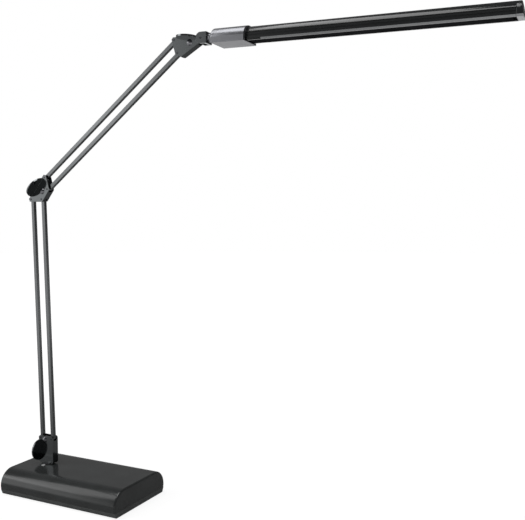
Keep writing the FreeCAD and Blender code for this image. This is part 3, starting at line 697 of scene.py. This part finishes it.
def repeated(name: str, sizes: dict[str, Union[int, float]], points: Grow, shape: Grow,
             finish: Finish) -> bpy.types.Object:
    """Set one small shape on every point of a pattern with Geometry Nodes, as a plain mesh.

    Args:
        name: The piece's name.
        sizes: The tree's named inputs and their values.
        points: Adds the nodes that make the points.
        shape: Adds the nodes that make the shape.
        finish: The finish that the tree sets.

    Returns:
        The new object, with no modifier left on it.
    """
    tree = bpy.data.node_groups.new(name, "GeometryNodeTree")
    bench = Bench(tree)
    keys = {}
    for label, value in sizes.items():
        kind = "NodeSocketInt" if isinstance(value, int) else "NodeSocketFloat"
        keys[label] = tree.interface.new_socket(label, in_out="INPUT", socket_type=kind).identifier
    tree.interface.new_socket("Geometry", in_out="OUTPUT", socket_type="NodeSocketGeometry")
    group = bench.add("NodeGroupInput")
    given = {label: Wire(bench, group.outputs[label]) for label in sizes}
    spread = bench.wire("GeometryNodeInstanceOnPoints", {},
                        {"Points": points(bench, given), "Instance": shape(bench, given)})
    solid = bench.wire("GeometryNodeRealizeInstances", {}, {"Geometry": spread})
    dressed = bench.wire("GeometryNodeSetMaterial", {}, {"Geometry": solid, "Material": coat(finish)})
    bench.add("NodeGroupOutput", {}, {0: dressed})
    item = bpy.data.objects.new(name, bpy.data.meshes.new(name + "_seed"))
    bpy.context.scene.collection.objects.link(item)
    grow = item.modifiers.new("grow", "NODES")
    grow.node_group = tree
    for label, value in sizes.items():
        grow[keys[label]] = value
    graph = bpy.context.evaluated_depsgraph_get()
    mesh = bpy.data.meshes.new_from_object(item.evaluated_get(graph))
    mesh.name = name
    item.modifiers.remove(grow)
    seed, item.data = item.data, mesh
    bpy.data.meshes.remove(seed)
    return item


def in_a_row(bench: Bench, size: Sizes) -> Wire:
    """Points along X, by the inputs Count and Pitch."""
    step = bench.wire("ShaderNodeCombineXYZ", {}, {"X": size["Pitch"]})
    return bench.wire("GeometryNodeMeshLine", {}, {"Count": size["Count"], "Offset": step})


def in_a_grid(bench: Bench, size: Sizes) -> Wire:
    """Points at the corners of a rectangle, by the inputs Long, Wide, Columns and Rows."""
    return bench.wire("GeometryNodeMeshGrid", {}, {
        "Size X": size["Long"], "Size Y": size["Wide"],
        "Vertices X": size["Columns"], "Vertices Y": size["Rows"]})


def box(bench: Bench, x: Wire, y: Wire, z: Wire) -> Wire:
    """A box of three sides about the origin."""
    sides = bench.wire("ShaderNodeCombineXYZ", {}, {"X": x, "Y": y, "Z": z})
    return bench.wire("GeometryNodeMeshCube", {}, {"Size": sides})


def plug(bench: Bench, facets: int, radius: Wire, high: Wire) -> Wire:
    """A round plug about the origin, along Z."""
    return bench.wire("GeometryNodeMeshCylinder", {}, {"Vertices": facets, "Radius": radius, "Depth": high})


def lifted(bench: Bench, shape: Wire, lift: Wire) -> Wire:
    """A shape moved along Z."""
    way = bench.wire("ShaderNodeCombineXYZ", {}, {"Z": lift})
    return bench.wire("GeometryNodeTransform", {}, {"Geometry": shape, "Translation": way})


def small_box(bench: Bench, size: Sizes) -> Wire:
    """A box on a square side, by the inputs Side and High."""
    return box(bench, size["Side"], size["Side"], size["High"])


def small_disc(bench: Bench, size: Sizes) -> Wire:
    """A short round plug, by the inputs Radius and High."""
    return plug(bench, PLUG_SIDES, size["Radius"], size["High"])


def slotted_screw(bench: Bench, size: Sizes) -> Wire:
    """A cheese-head screw, head down, with a driver slot across its head.

    Args:
        bench: The tree's bench.
        size: Its inputs Head, Head High, Shank, Shank Long and Slot.

    Returns:
        The screw.
    """
    head = plug(bench, SCREW_SIDES, size["Head"], size["Head High"])
    shank = plug(bench, PLUG_SIDES, size["Shank"], size["Shank Long"])
    raised = lifted(bench, shank, 0.5 * (size["Shank Long"] + size["Head High"]))
    blade = box(bench, size["Slot"], SLOT_SHARE * size["Head"], size["Head High"])
    lowered = lifted(bench, blade, -0.5 * size["Head High"])
    slotted = bench.wire("GeometryNodeMeshBoolean", {"operation": "DIFFERENCE"},
                         {"Mesh 1": head, "Mesh 2": lowered})
    both = bench.add("GeometryNodeJoinGeometry")
    for part in (slotted, raised):
        bench.tree.links.new(part.socket, both.inputs[0])
    return Wire(bench, both.outputs[0])


# Sub-assemblies
@dataclass
class Base:
    """Loaf-shaped weighted base: gloss cover on a satin tray, button, inlet and foot."""

    long: float = 152.0 * MM
    half: float = 42.8 * MM
    high: float = 26.0 * MM
    corner_radius: float = 16.5 * MM
    corner_height: float = 9.5 * MM
    corner_angle: float = 76.0
    bulge: float = 8.0 * MM
    seam: float = 5.8 * MM
    seam_inset: float = 0.5 * MM
    end_round: float = 2.2 * MM
    wall: float = 2.5 * MM
    screw_long: float = 128.0 * MM
    screw_wide: float = 40.0 * MM
    screw_columns: int = 2
    screw_rows: int = 2
    screw_low: float = 0.5 * MM
    screw_head: float = 2.8 * MM
    screw_head_high: float = 1.4 * MM
    screw_shank: float = 1.4 * MM
    screw_reach: float = 11.0 * MM
    screw_slot: float = 0.8 * MM
    button_radius: float = 2.0 * MM
    button_edge: float = 0.45 * MM
    button_edge_high: float = 0.33 * MM
    button_crown: float = 0.9 * MM
    button_crown_drop: float = 0.03 * MM
    flange_high: float = 1.0 * MM
    button_bore: float = 2.06 * MM
    swivel_bore: float = 3.06 * MM
    bore_reach: float = 10.0 * MM
    jack_gap: float = 0.05 * MM
    jack_reach: float = 3.0 * MM
    tray_round: float = 0.4 * MM
    mat_round: float = 0.3 * MM
    jack_round: float = 0.25 * MM
    corner_steps: int = 14
    crown_steps: int = 12
    top_steps: int = 8
    end_steps: int = 7
    button_steps: int = 4

    def outline(self, inset: float) -> list[Point]:
        """The cover's section.

        Args:
            inset: How far it is drawn in all round.

        Returns:
            (Y, Z) points from one lip over the top to the other.
        """
        radius = self.corner_radius - inset
        turn = math.radians(self.corner_angle)
        knee = (self.half - self.corner_radius, self.corner_height)
        shoulder = (knee[0] + radius * math.cos(turn), knee[1] + radius * math.sin(turn))
        top = self.high - inset
        crown = (top - shoulder[1]) / (1 - math.sin(turn))
        flat = shoulder[0] - crown * math.cos(turn)
        right = [(self.half - inset - self.seam_inset, self.seam), (self.half - inset, self.bulge)]
        right += arc(knee, radius, 0, self.corner_angle, self.corner_steps)
        right += arc((flat, top - crown), crown, self.corner_angle, 90, self.crown_steps)[1:]
        left = [(-y, z) for y, z in reversed(right)]
        across = [(flat * (1 - 2 * i / self.top_steps), top) for i in range(1, self.top_steps)]
        return right + across + left

    def bore(self, name: str, radius: float, centre: Vector) -> bpy.types.Object:
        """An upright round cutter.

        Args:
            name: The cutter's name.
            radius: Its radius.
            centre: Its middle.

        Returns:
            The new object.
        """
        reach = self.bore_reach
        return turned(name, [(0.0, -reach), (radius, -reach), (radius, reach), (0.0, reach)], centre)

    def cover(self) -> bpy.types.Object:
        """The gloss cover with rounded end edges, hollow below, bored for button and swivel.

        Returns:
            The new object.
        """
        rings = []
        for side in (-1, 1):
            for i in range(self.end_steps + 1)[::-side]:
                turn = math.radians(90 * i / self.end_steps)
                inset = self.end_round * (1 - math.sin(turn))
                x = side * (self.long / 2 - self.end_round * (1 - math.cos(turn)))
                rings.append([Vector((x, y, z)) for y, z in self.outline(inset)])
        shell = loft("base_shell", rings)
        inside = self.outline(self.wall)
        inside = [(inside[0][0], 0.0), *inside, (inside[-1][0], 0.0)]
        ends = (-self.long / 2 + self.wall, self.long / 2 - self.wall)
        cavity = loft("cavity", [[Vector((x, y, z)) for y, z in inside] for x in ends])
        button_at = Vector((*middle("power_button").xy, self.high))
        jack_low, jack_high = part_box("dc_jack")
        gap = Vector((self.jack_reach, self.jack_gap, self.jack_gap))
        return carved(shell, [cavity,
                              self.bore("button_bore", self.button_bore, button_at),
                              self.bore("swivel_bore", self.swivel_bore, joint_at("base_swivel")),
                              block("jack_window", jack_low - gap, jack_high + gap)])

    def button(self) -> bpy.types.Object:
        """The domed white button with its hidden flange.

        Returns:
            The new object.
        """
        low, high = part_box("power_button")
        flange, tall = (high.x - low.x) / 2, high.z - low.z
        radius, edge = self.button_radius, self.button_edge
        profile = [(0.0, 0.0), (flange, 0.0), (flange, self.flange_high), (radius, self.flange_high),
                   (radius, tall - edge)]
        for i in range(1, self.button_steps + 1):
            turn = math.radians(90 * i / self.button_steps)
            profile.append((radius - edge * (1 - math.cos(turn)),
                            tall - edge + self.button_edge_high * math.sin(turn)))
        profile += [(self.button_crown, tall - self.button_crown_drop), (0.0, tall)]
        return turned("power_button_cap", profile, Vector((*middle("power_button").xy, low.z)))

    def screws(self) -> bpy.types.Object:
        """The four slotted screws that hold the tray.

        Returns:
            The new object.
        """
        sizes = {"Long": self.screw_long, "Wide": self.screw_wide,
                 "Columns": self.screw_columns, "Rows": self.screw_rows,
                 "Head": self.screw_head, "Head High": self.screw_head_high, "Shank": self.screw_shank,
                 "Shank Long": self.screw_reach, "Slot": self.screw_slot}
        item = repeated("tray_screws", sizes, in_a_grid, slotted_screw, Finish.STEEL)
        item.data.transform(Matrix.Translation((0.0, 0.0, self.screw_low + self.screw_head_high / 2)))
        return item

    def build(self) -> None:
        """Make and dress the base's pieces."""
        fit(self.cover(), "base", Finish.GLOSS_BLACK, "gloss_black", "base_cover")
        fit_softened("base_tray", "base_tray_moulding", self.tray_round, "base", Finish.SATIN_BLACK,
                     "satin_black")
        fit_softened("foot_mat", "foot_mat_pad", self.mat_round, "base", Finish.RUBBER, "rubber")
        fit(self.button(), "button", Finish.BUTTON_WHITE, "button_white", "power_button")
        fit_softened("dc_jack", "inlet_jack", self.jack_round, "base", Finish.SATIN_BLACK, "satin_black")
        screws = [f"tray_screw_{i + 1}" for i in range(self.screw_columns * self.screw_rows)]
        fit(self.screws(), "base", Finish.STEEL, "steel", *screws)
        for node, finish in (("counterweight", Finish.IRON), ("driver_board", Finish.BOARD),
                             ("tact_switch", Finish.SATIN_BLACK), ("swivel_washer", Finish.NYLON)):
            redress(node, finish)


@dataclass
class Linkage:
    """The folded brackets, pins, dome bolts and square bars of both arms."""

    edge_round: float = 0.32 * MM
    bar_round: float = 0.45 * MM
    nut_round: float = 0.2 * MM
    post_round: float = 0.2 * MM
    pin_round: float = 0.2 * MM
    pin_steps: int = 24
    dome_radius: float = 3.9 * MM
    dome_from: float = 35.0
    dome_rim: float = 0.1 * MM
    dome_rim_high: float = 0.08 * MM
    dome_steps: int = 48
    dome_rings: int = 12
    shank: float = 1.5 * MM
    half_wide: float = 4.0 * MM

    def bolt(self, node: str, name: str) -> bpy.types.Object:
        """A dome-headed tension bolt on a thin flange.

        Args:
            node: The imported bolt.
            name: The piece's name.

        Returns:
            The new object.
        """
        centre = Vector((middle(node).x, -self.half_wide, middle(node).z))
        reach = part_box(node)[1].y - centre.y
        start = math.radians(self.dome_from)
        sunk = self.dome_radius * math.sin(start)
        rim = self.dome_radius * math.cos(start)
        profile = [(0.0, -reach), (self.shank, -reach), (self.shank, 0.0), (rim - self.dome_rim, 0.0),
                   (rim, self.dome_rim_high)]
        profile += arc((0.0, -sunk), self.dome_radius, self.dome_from, 90, self.dome_rings)[1:-1]
        profile.append((0.0, self.dome_radius - sunk))
        return turned(name, profile, centre, Vector((0.0, -1.0, 0.0)), self.dome_steps)

    def pin(self, node: str, name: str) -> bpy.types.Object:
        """A pivot pin with lightly rounded ends.

        Args:
            node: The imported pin.
            name: The piece's name.

        Returns:
            The new object.
        """
        low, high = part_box(node)
        radius, tall, soft = (high.x - low.x) / 2, high.y - low.y, self.pin_round
        profile = [(0.0, 0.0), (radius - soft, 0.0), (radius, soft), (radius, tall - soft),
                   (radius - soft, tall), (0.0, tall)]
        foot = Vector((middle(node).x, low.y, middle(node).z))
        return turned(name, profile, foot, Vector((0.0, 1.0, 0.0)), self.pin_steps)

    def build(self) -> None:
        """Make and dress the linkage's pieces."""
        for body, spot, pins in (
                ("swivel", "base", ("base_pin_rear", "base_pin_front")),
                ("elbow", "elbow", ("elbow_pin_rear", "elbow_pin_front", "elbow_pin_top", "elbow_pin_low")),
                ("head_joint", "head", ("head_pin_top", "head_pin_low", "tilt_pin"))):
            bracket, bolt, nut = spot + "_bracket", spot + "_bolt", spot + "_nut"
            fit_softened(bracket, bracket + "_sheet", self.edge_round, body, Finish.GUNMETAL, "gunmetal")
            for node in pins:
                fit(self.pin(node, node + "_rivet"), body, Finish.PIN_DARK_AND_GAP_SHADE, "pin_dark", node)
            fit(self.bolt(bolt, bolt + "_dome"), body, Finish.BOLT_DARK, "bolt_chrome", bolt)
            fit_softened(nut, nut + "_hex", self.nut_round, body, Finish.STEEL, "steel")
        for node, body, finish in (("lower_bar_rear", "lower_rear", Finish.LOWER_BAR),
                                   ("lower_bar_front", "lower_front", Finish.LOWER_BAR),
                                   ("upper_bar_top", "upper_top", Finish.UPPER_BAR),
                                   ("upper_bar_low", "upper_low", Finish.UPPER_BAR)):
            fit_softened(node, node + "_tube", self.bar_round, body, finish, "bar_grey")
        # Painted shade: the swivel post takes the dark pin finish in place of its gunmetal, so the gap under
        # the bracket reads dark
        fit_softened("swivel_post", "swivel_post_turned", self.post_round, "swivel", Finish.PIN_DARK_AND_GAP_SHADE,
                     "gunmetal")
        redress("swivel_nut", Finish.STEEL)


@dataclass
class Head:
    """Tilt fork, neck, collar, light bar with its lamp rail, chips, lens and end cap."""

    droop: float = 1.8
    collar_from: float = 11.1 * MM
    collar_long: float = 38.7 * MM
    bar_start: float = 12.2 * MM
    bar_long: float = 260.0 * MM
    rail_start: float = 1.0 * MM
    rail_high: float = 3.1 * MM
    # A thin strip on the rail's chamfer carries a painted reflection of the floor, starting this far past
    # the collar's mouth
    reflection_start: float = 15.0 * MM
    reflection_proud: float = 0.06 * MM
    reflection_thick: float = 0.3 * MM
    lip_soft: float = 0.1 * MM
    arch_drop: float = 2.2 * MM
    bar_half: float = 9.0 * MM
    bar_skirt: float = 4.6 * MM
    bevel_wide: float = 1.6 * MM
    bevel_high: float = 1.4 * MM
    groove_deep: float = 0.7 * MM
    groove_high: float = 1.0 * MM
    groove_pitch: float = 2.6 * MM
    slot_half: float = 7.2 * MM
    slot_low: float = 0.6 * MM
    slot_high: float = 2.0 * MM
    ledge_high: float = 2.8 * MM
    channel_half: float = 6.4 * MM
    cavity_half: float = 7.2 * MM
    cavity_top: float = 1.3 * MM
    chip_first: float = 70.3 * MM
    chip_pitch: float = 10.0 * MM
    chip_count: int = 21
    chip_side: float = 2.8 * MM
    chip_high: float = 0.8 * MM
    chip_level: float = -0.7 * MM
    window_share: float = 0.38
    window_high_share: float = 1.1
    rail_gap: float = 0.02 * MM
    bar_soft: float = 0.25 * MM
    collar_round: float = 0.5 * MM
    cap_round: float = 0.4 * MM
    fork_round: float = 0.35 * MM
    neck_round: float = 0.4 * MM
    groove_steps: int = 4
    crown_steps: int = 20
    # Along an end's rounding: the share of the way in, and the share of it still drawn in there
    end_shares: tuple[Point, ...] = ((0.0, 1.0), (0.3, 0.35), (1.0, 0.0))

    def place(self) -> Matrix:
        """From the head's own layout along X to its place on the lamp."""
        return Matrix.Translation(joint_at("head_tilt")) @ Matrix.Rotation(math.radians(self.droop), 4, "Y")

    def sole(self) -> float:
        """Level of the light bar's underside."""
        return -self.arch_drop - self.bar_skirt

    def extruded(self, name: str, section: Sequence[Point], start: float, stop: float,
                 soft: float) -> bpy.types.Object:
        """A straight extrusion along the head with lightly rounded ends.

        Args:
            name: The piece's name.
            section: Closed (Y, Z) outline.
            start: Where it starts along X.
            stop: Where it stops along X.
            soft: Rounding of its ends.

        Returns:
            The new object.
        """
        mid_y = sum(y for y, z in section) / len(section)
        mid_z = sum(z for y, z in section) / len(section)
        reach = max(abs(z - mid_z) for y, z in section)
        rows = [(start + soft * way, drawn) for way, drawn in self.end_shares]
        rows += [(stop - soft * way, drawn) for way, drawn in reversed(self.end_shares)]
        rings = []
        for x, drawn in rows:
            shrink = 1.0 - drawn * soft / reach
            rings.append([self.place() @ Vector((x, mid_y + (y - mid_y) * shrink,
                                                 mid_z + (z - mid_z) * shrink)) for y, z in section])
        return loft(name, rings)

    def bar_section(self) -> list[Point]:
        """The light bar's arch with its side grooves and inner channel, down to the rail.

        Returns:
            Closed (Y, Z) outline.
        """
        low = self.sole() + self.rail_high
        centre = (0.0, -self.arch_drop)
        right: list[Point] = [(self.bar_half, low), (self.bar_half, -self.arch_drop - self.groove_high)]
        for step in (0, 1):
            top = self.groove_pitch * step
            bottom = top - self.groove_high
            out_low = math.sqrt(self.bar_half ** 2 - max(bottom, 0.0) ** 2)
            out_top = math.sqrt(self.bar_half ** 2 - top ** 2)
            if step:
                lip = math.degrees(math.asin(bottom / self.bar_half))
                right += arc(centre, self.bar_half, 0, lip, self.groove_steps)[1:-1]
                right.append((out_low, bottom - self.arch_drop))
            right.append((out_top - self.groove_deep, bottom - self.arch_drop))
            right.append((out_top - self.groove_deep, top - self.arch_drop))
            right.append((out_top, top - self.arch_drop))
        first = math.degrees(math.asin(self.groove_pitch / self.bar_half))
        right += arc(centre, self.bar_half, first, 90, self.crown_steps)[1:]
        left = [(-y, z) for y, z in reversed(right[:-1])]
        channel = [(-self.cavity_half, low), (-self.cavity_half, self.cavity_top),
                   (self.cavity_half, self.cavity_top), (self.cavity_half, low)]
        return right + left + channel

    def rail_section(self) -> list[Point]:
        """One lip of the lamp rail, chamfered below and slotted for the lens.

        Returns:
            Closed (Y, Z) outline.
        """
        low = self.sole()
        top = low + self.rail_high - self.rail_gap
        return [(self.cavity_half, top), (self.cavity_half, low + self.ledge_high),
                (self.channel_half, low + self.ledge_high), (self.channel_half, low + self.slot_high),
                (self.slot_half, low + self.slot_high), (self.slot_half, low + self.slot_low),
                (self.channel_half, low + self.slot_low), (self.channel_half, low),
                (self.bar_half - self.bevel_wide, low), (self.bar_half, low + self.bevel_high),
                (self.bar_half, top)]

    def reflection_section(self) -> list[Point]:
        """A thin strip on the rail's chamfer that carries the painted reflection of the floor.

        Returns:
            Closed (Y, Z) outline.
        """
        low = self.sole()
        inner = Vector((self.bar_half - self.bevel_wide, low))
        outer = Vector((self.bar_half, low + self.bevel_high))
        along = (outer - inner).normalized()
        out = Vector((along.y, -along.x))
        corners = [inner + out * self.reflection_proud, outer + out * self.reflection_proud,
                   outer - along * self.reflection_thick - out * self.reflection_thick,
                   inner + along * self.reflection_thick - out * self.reflection_thick]
        return [(corner.x, corner.y) for corner in corners]

    def mirrored(self, name: str, section: Sequence[Point], start: float) -> bpy.types.Object:
        """An extrusion and its mirror image across the bar, as one piece.

        Args:
            name: The piece's name.
            section: Closed (Y, Z) outline of one side.
            start: Where it starts past the collar's mouth.

        Returns:
            The new object, up to the bar's end.
        """
        begin = self.collar_from + self.collar_long + start
        end = self.collar_from + self.bar_start + self.bar_long
        bm = bmesh.new()
        for outline in (section, [(-y, z) for y, z in reversed(section)]):
            item = self.extruded(name + "_side", outline, begin, end, self.lip_soft)
            mesh = item.data
            bm.from_mesh(mesh)
            bpy.data.objects.remove(item)
            bpy.data.meshes.remove(mesh)
        return as_object(bm, name)

    def chips(self, name: str, shape: Grow, sizes: dict[str, float], finish: Finish) -> bpy.types.Object:
        """A row of one small shape along the board of the lamp chips.

        Args:
            name: The piece's name.
            shape: Adds the nodes that make the shape.
            sizes: The shape's inputs.
            finish: Its finish.

        Returns:
            The new object.
        """
        row = {"Count": self.chip_count, "Pitch": self.chip_pitch, **sizes}
        item = repeated(name, row, in_a_row, shape, finish)
        item.data.transform(self.place() @ Matrix.Translation((self.chip_first, 0.0, self.chip_level)))
        return item

    def cap_part(self, name: str, upper: bool) -> bpy.types.Object:
        """The end cap above or below the top line of its chamfer.

        Args:
            name: The piece's name.
            upper: Whether the part above the line is kept.

        Returns:
            The new object.
        """
        item = softened("end_cap", name, self.cap_round)
        level = self.place() @ Vector((0.0, 0.0, self.sole() + self.bevel_high))
        bm = bmesh.new()
        bm.from_mesh(item.data)
        halves = bmesh.ops.bisect_plane(bm, geom=[*bm.verts, *bm.edges, *bm.faces], plane_co=level,
                                        plane_no=self.place().to_3x3() @ UP,
                                        clear_inner=upper, clear_outer=not upper)
        rim = [e for e in halves["geom_cut"] if isinstance(e, bmesh.types.BMEdge)]
        bmesh.ops.holes_fill(bm, edges=rim)
        shade(bm, item.data, SMOOTH_ANGLE)
        return item

    def build(self) -> None:
        """Make and dress the head's pieces."""
        start = self.collar_from + self.bar_start
        stop = start + self.bar_long
        arch = self.extruded("light_bar_arch", self.bar_section(), start, stop, self.bar_soft)
        fit(arch, "head", Finish.BAR_BLACK, "bar_black", "light_bar")
        rail = self.mirrored("lamp_rail", self.rail_section(), self.rail_start)
        fit(rail, "head", Finish.BAR_BLACK, "bar_black")
        # Painted reflection: a light grey strip on the black chamfer stands in for the white floor mirrored
        # there
        reflection_strip = self.mirrored("lamp_rail_painted_reflection", self.reflection_section(), self.reflection_start)
        fit(reflection_strip, "head", Finish.RAIL_PAINTED_REFLECTION, "bar_black")
        fit_softened("head_collar", "head_collar_sleeve", self.collar_round, "head", Finish.COLLAR_GREY,
                     "collar_grey")
        fit(self.cap_part("bar_end_cap", True), "head", Finish.BAR_BLACK, "bar_black", "end_cap")
        # Painted reflection: the cap below its chamfer line is light grey, standing in for the white floor
        # mirrored there
        fit(self.cap_part("end_cap_painted_reflection", False), "head", Finish.RAIL_PAINTED_REFLECTION, "bar_black")
        case = {"Side": self.chip_side, "High": self.chip_high}
        cases = self.chips("lamp_chips", small_box, case, Finish.LED_CASE)
        fit(cases, "head", Finish.LED_CASE, "led", "led_chips")
        window = {"Radius": self.window_share * self.chip_side,
                  "High": self.window_high_share * self.chip_high}
        windows = self.chips("lamp_chip_windows", small_disc, window, Finish.LED_GLOW)
        fit(windows, "head", Finish.LED_GLOW, "led")
        fit_softened("tilt_fork", "tilt_fork_cheeks", self.fork_round, "fork", Finish.GUNMETAL, "gunmetal")
        fit_softened("roll_spindle", "roll_neck", self.neck_round, "fork", Finish.COLLAR_GREY, "steel")
        for node, finish in (("spindle_clip", Finish.STEEL), ("led_board", Finish.WHITE_BOARD),
                             ("diffuser_lens", Finish.LENS)):
            redress(node, finish)


# Studio
@dataclass(frozen=True)
class Softbox:
    """An area lamp aimed at a point."""

    name: str
    at: Place
    aim: Place
    size: Point
    watts: float

    def build(self) -> None:
        """Hang the lamp."""
        data = bpy.data.lights.new(self.name, "AREA")
        data.shape = "RECTANGLE"
        data.size, data.size_y = self.size
        data.energy = self.watts
        item = bpy.data.objects.new(self.name, data)
        item.location = self.at
        item.rotation_euler = (Vector(self.aim) - Vector(self.at)).to_track_quat("-Z", "Y").to_euler()
        bpy.context.scene.collection.objects.link(item)


@dataclass
class Studio:
    """Floor, world, softboxes and the camera."""

    lens: float = 49.89
    sensor: float = 36.0
    camera_at: Place = (0.5135, -0.6012, 0.2916)
    camera_pitch: float = 0.05357
    camera_yaw: float = 0.4602
    wall_way: Place = (-0.85, -0.5, 0.05)
    wall_spread: Point = (0.8, 0.957)
    wall_glow: float = 1.3
    card_glow: float = 0.1
    back_way: Place = (-0.63, 0.7, 0.33)
    back_spread: Point = (0.8, 0.98)
    back_glow: float = 0.12
    fill: float = 0.15
    floor_radius: float = 6.0
    floor_drop: float = 0.0002
    floor_glow: float = 0.87
    floor_fade: Point = (0.3, 0.9)
    floor_shade: Colour = (0.2, 0.2, 0.2)
    floor_pale: Colour = (0.8, 0.8, 0.8)
    card_edge: Point = (-0.1, 0.25)
    card_spread: Point = (0.1, 0.9)
    far_edge: Point = (0.9, 1.3)
    floor_sides: int = 64
    white: tuple[float, ...] = (1.0, 1.0, 1.0, 1.0)
    softboxes: tuple[Softbox, ...] = (
        Softbox("overhead", (0.0, -0.26, 1.33), (0.15, 0.0, 0.46), (1.1, 0.6), 8.3),
        Softbox("left", (-0.66, -0.55, 0.76), (0.04, -0.04, 0.02), (0.55, 0.7), 2.4))

    def camera(self) -> None:
        """The photograph's view."""
        data = bpy.data.cameras.new("view")
        data.lens, data.sensor_width = self.lens, self.sensor
        item = bpy.data.objects.new("view", data)
        item.location = self.camera_at
        item.rotation_euler = (math.pi / 2 - self.camera_pitch, 0.0, self.camera_yaw)
        bpy.context.scene.collection.objects.link(item)
        bpy.context.scene.camera = item

    def world(self) -> None:
        """A room with a pale wall to the front left and a faint one behind, white to the camera."""
        world = bpy.data.worlds.new("studio")
        world.use_nodes = True
        bpy.context.scene.world = world
        bench = Bench(world.node_tree)
        way = bench.wire("ShaderNodeTexCoord", out="Generated")
        facing = [bench.wire("ShaderNodeVectorMath", {"operation": "DOT_PRODUCT"},
                             {0: way, 1: tuple(Vector(aim).normalized())}, out="Value")
                  for aim in (self.wall_way, self.back_way)]
        seen, mirrored, _ = bench.rays()
        room = (self.card_glow + self.wall_glow * facing[0].between(*self.wall_spread)
                + self.back_glow * facing[1].between(*self.back_spread))
        strength = seen + (1.0 - seen) * (room + (1.0 - mirrored) * self.fill)
        shader = bench.wire("ShaderNodeBackground", {}, {"Color": self.white, "Strength": strength})
        bench.add("ShaderNodeOutputWorld", {}, {"Surface": shader})

    def floor(self) -> None:
        """A pale floor that keeps the lamp's shadow, with a dark strip behind the lamp in reflections."""
        bm = bmesh.new()
        bmesh.ops.create_circle(bm, cap_ends=True, segments=self.floor_sides, radius=self.floor_radius)
        plane = as_object(bm, "floor")
        plane.location.z = -self.floor_drop
        material = bpy.data.materials.new("floor_white")
        material.use_nodes = True
        bench = Bench(material.node_tree)
        spot = bench.wire("ShaderNodeTexCoord", out="Object")
        depth = bench.wire("ShaderNodeSeparateXYZ", {}, {0: spot}, out="Y")
        reach = bench.wire("ShaderNodeVectorMath", {"operation": "LENGTH"}, {0: spot}, out="Value")
        seen, mirrored, bounced = bench.rays()
        near_white = self.floor_glow + (1.0 - self.floor_glow) * reach.between(*self.floor_fade)
        open_floor = 1.0 - depth.between(*self.card_edge) + depth.between(*self.far_edge)
        front = self.card_glow + open_floor * reach.between(*self.card_spread)
        glow = seen * near_white + mirrored * (1.0 - seen) * front
        shadow = bench.blend(bounced, self.floor_shade, self.floor_pale)
        matt = bench.wire("ShaderNodeBsdfDiffuse", {}, {"Color": shadow})
        light = bench.wire("ShaderNodeEmission", {}, {"Color": self.white, "Strength": glow})
        both = bench.wire("ShaderNodeAddShader", {}, {0: matt, 1: light})
        bench.add("ShaderNodeOutputMaterial", {}, {"Surface": both})
        plane.data.materials.append(material)

    def build(self) -> None:
        """Set the camera, floor, world and lamps."""
        bpy.context.scene.view_settings.view_transform = "Standard"
        self.camera()
        self.floor()
        self.world()
        for lamp in self.softboxes:
            lamp.build()


def main() -> None:
    """Build the lamp and its studio."""
    logging.basicConfig(level=logging.INFO, format="%(name)s: %(message)s")
    for part in (Studio(), Base(), Linkage(), Head()):
        part.build()


if __name__ == "__main__":
    main()
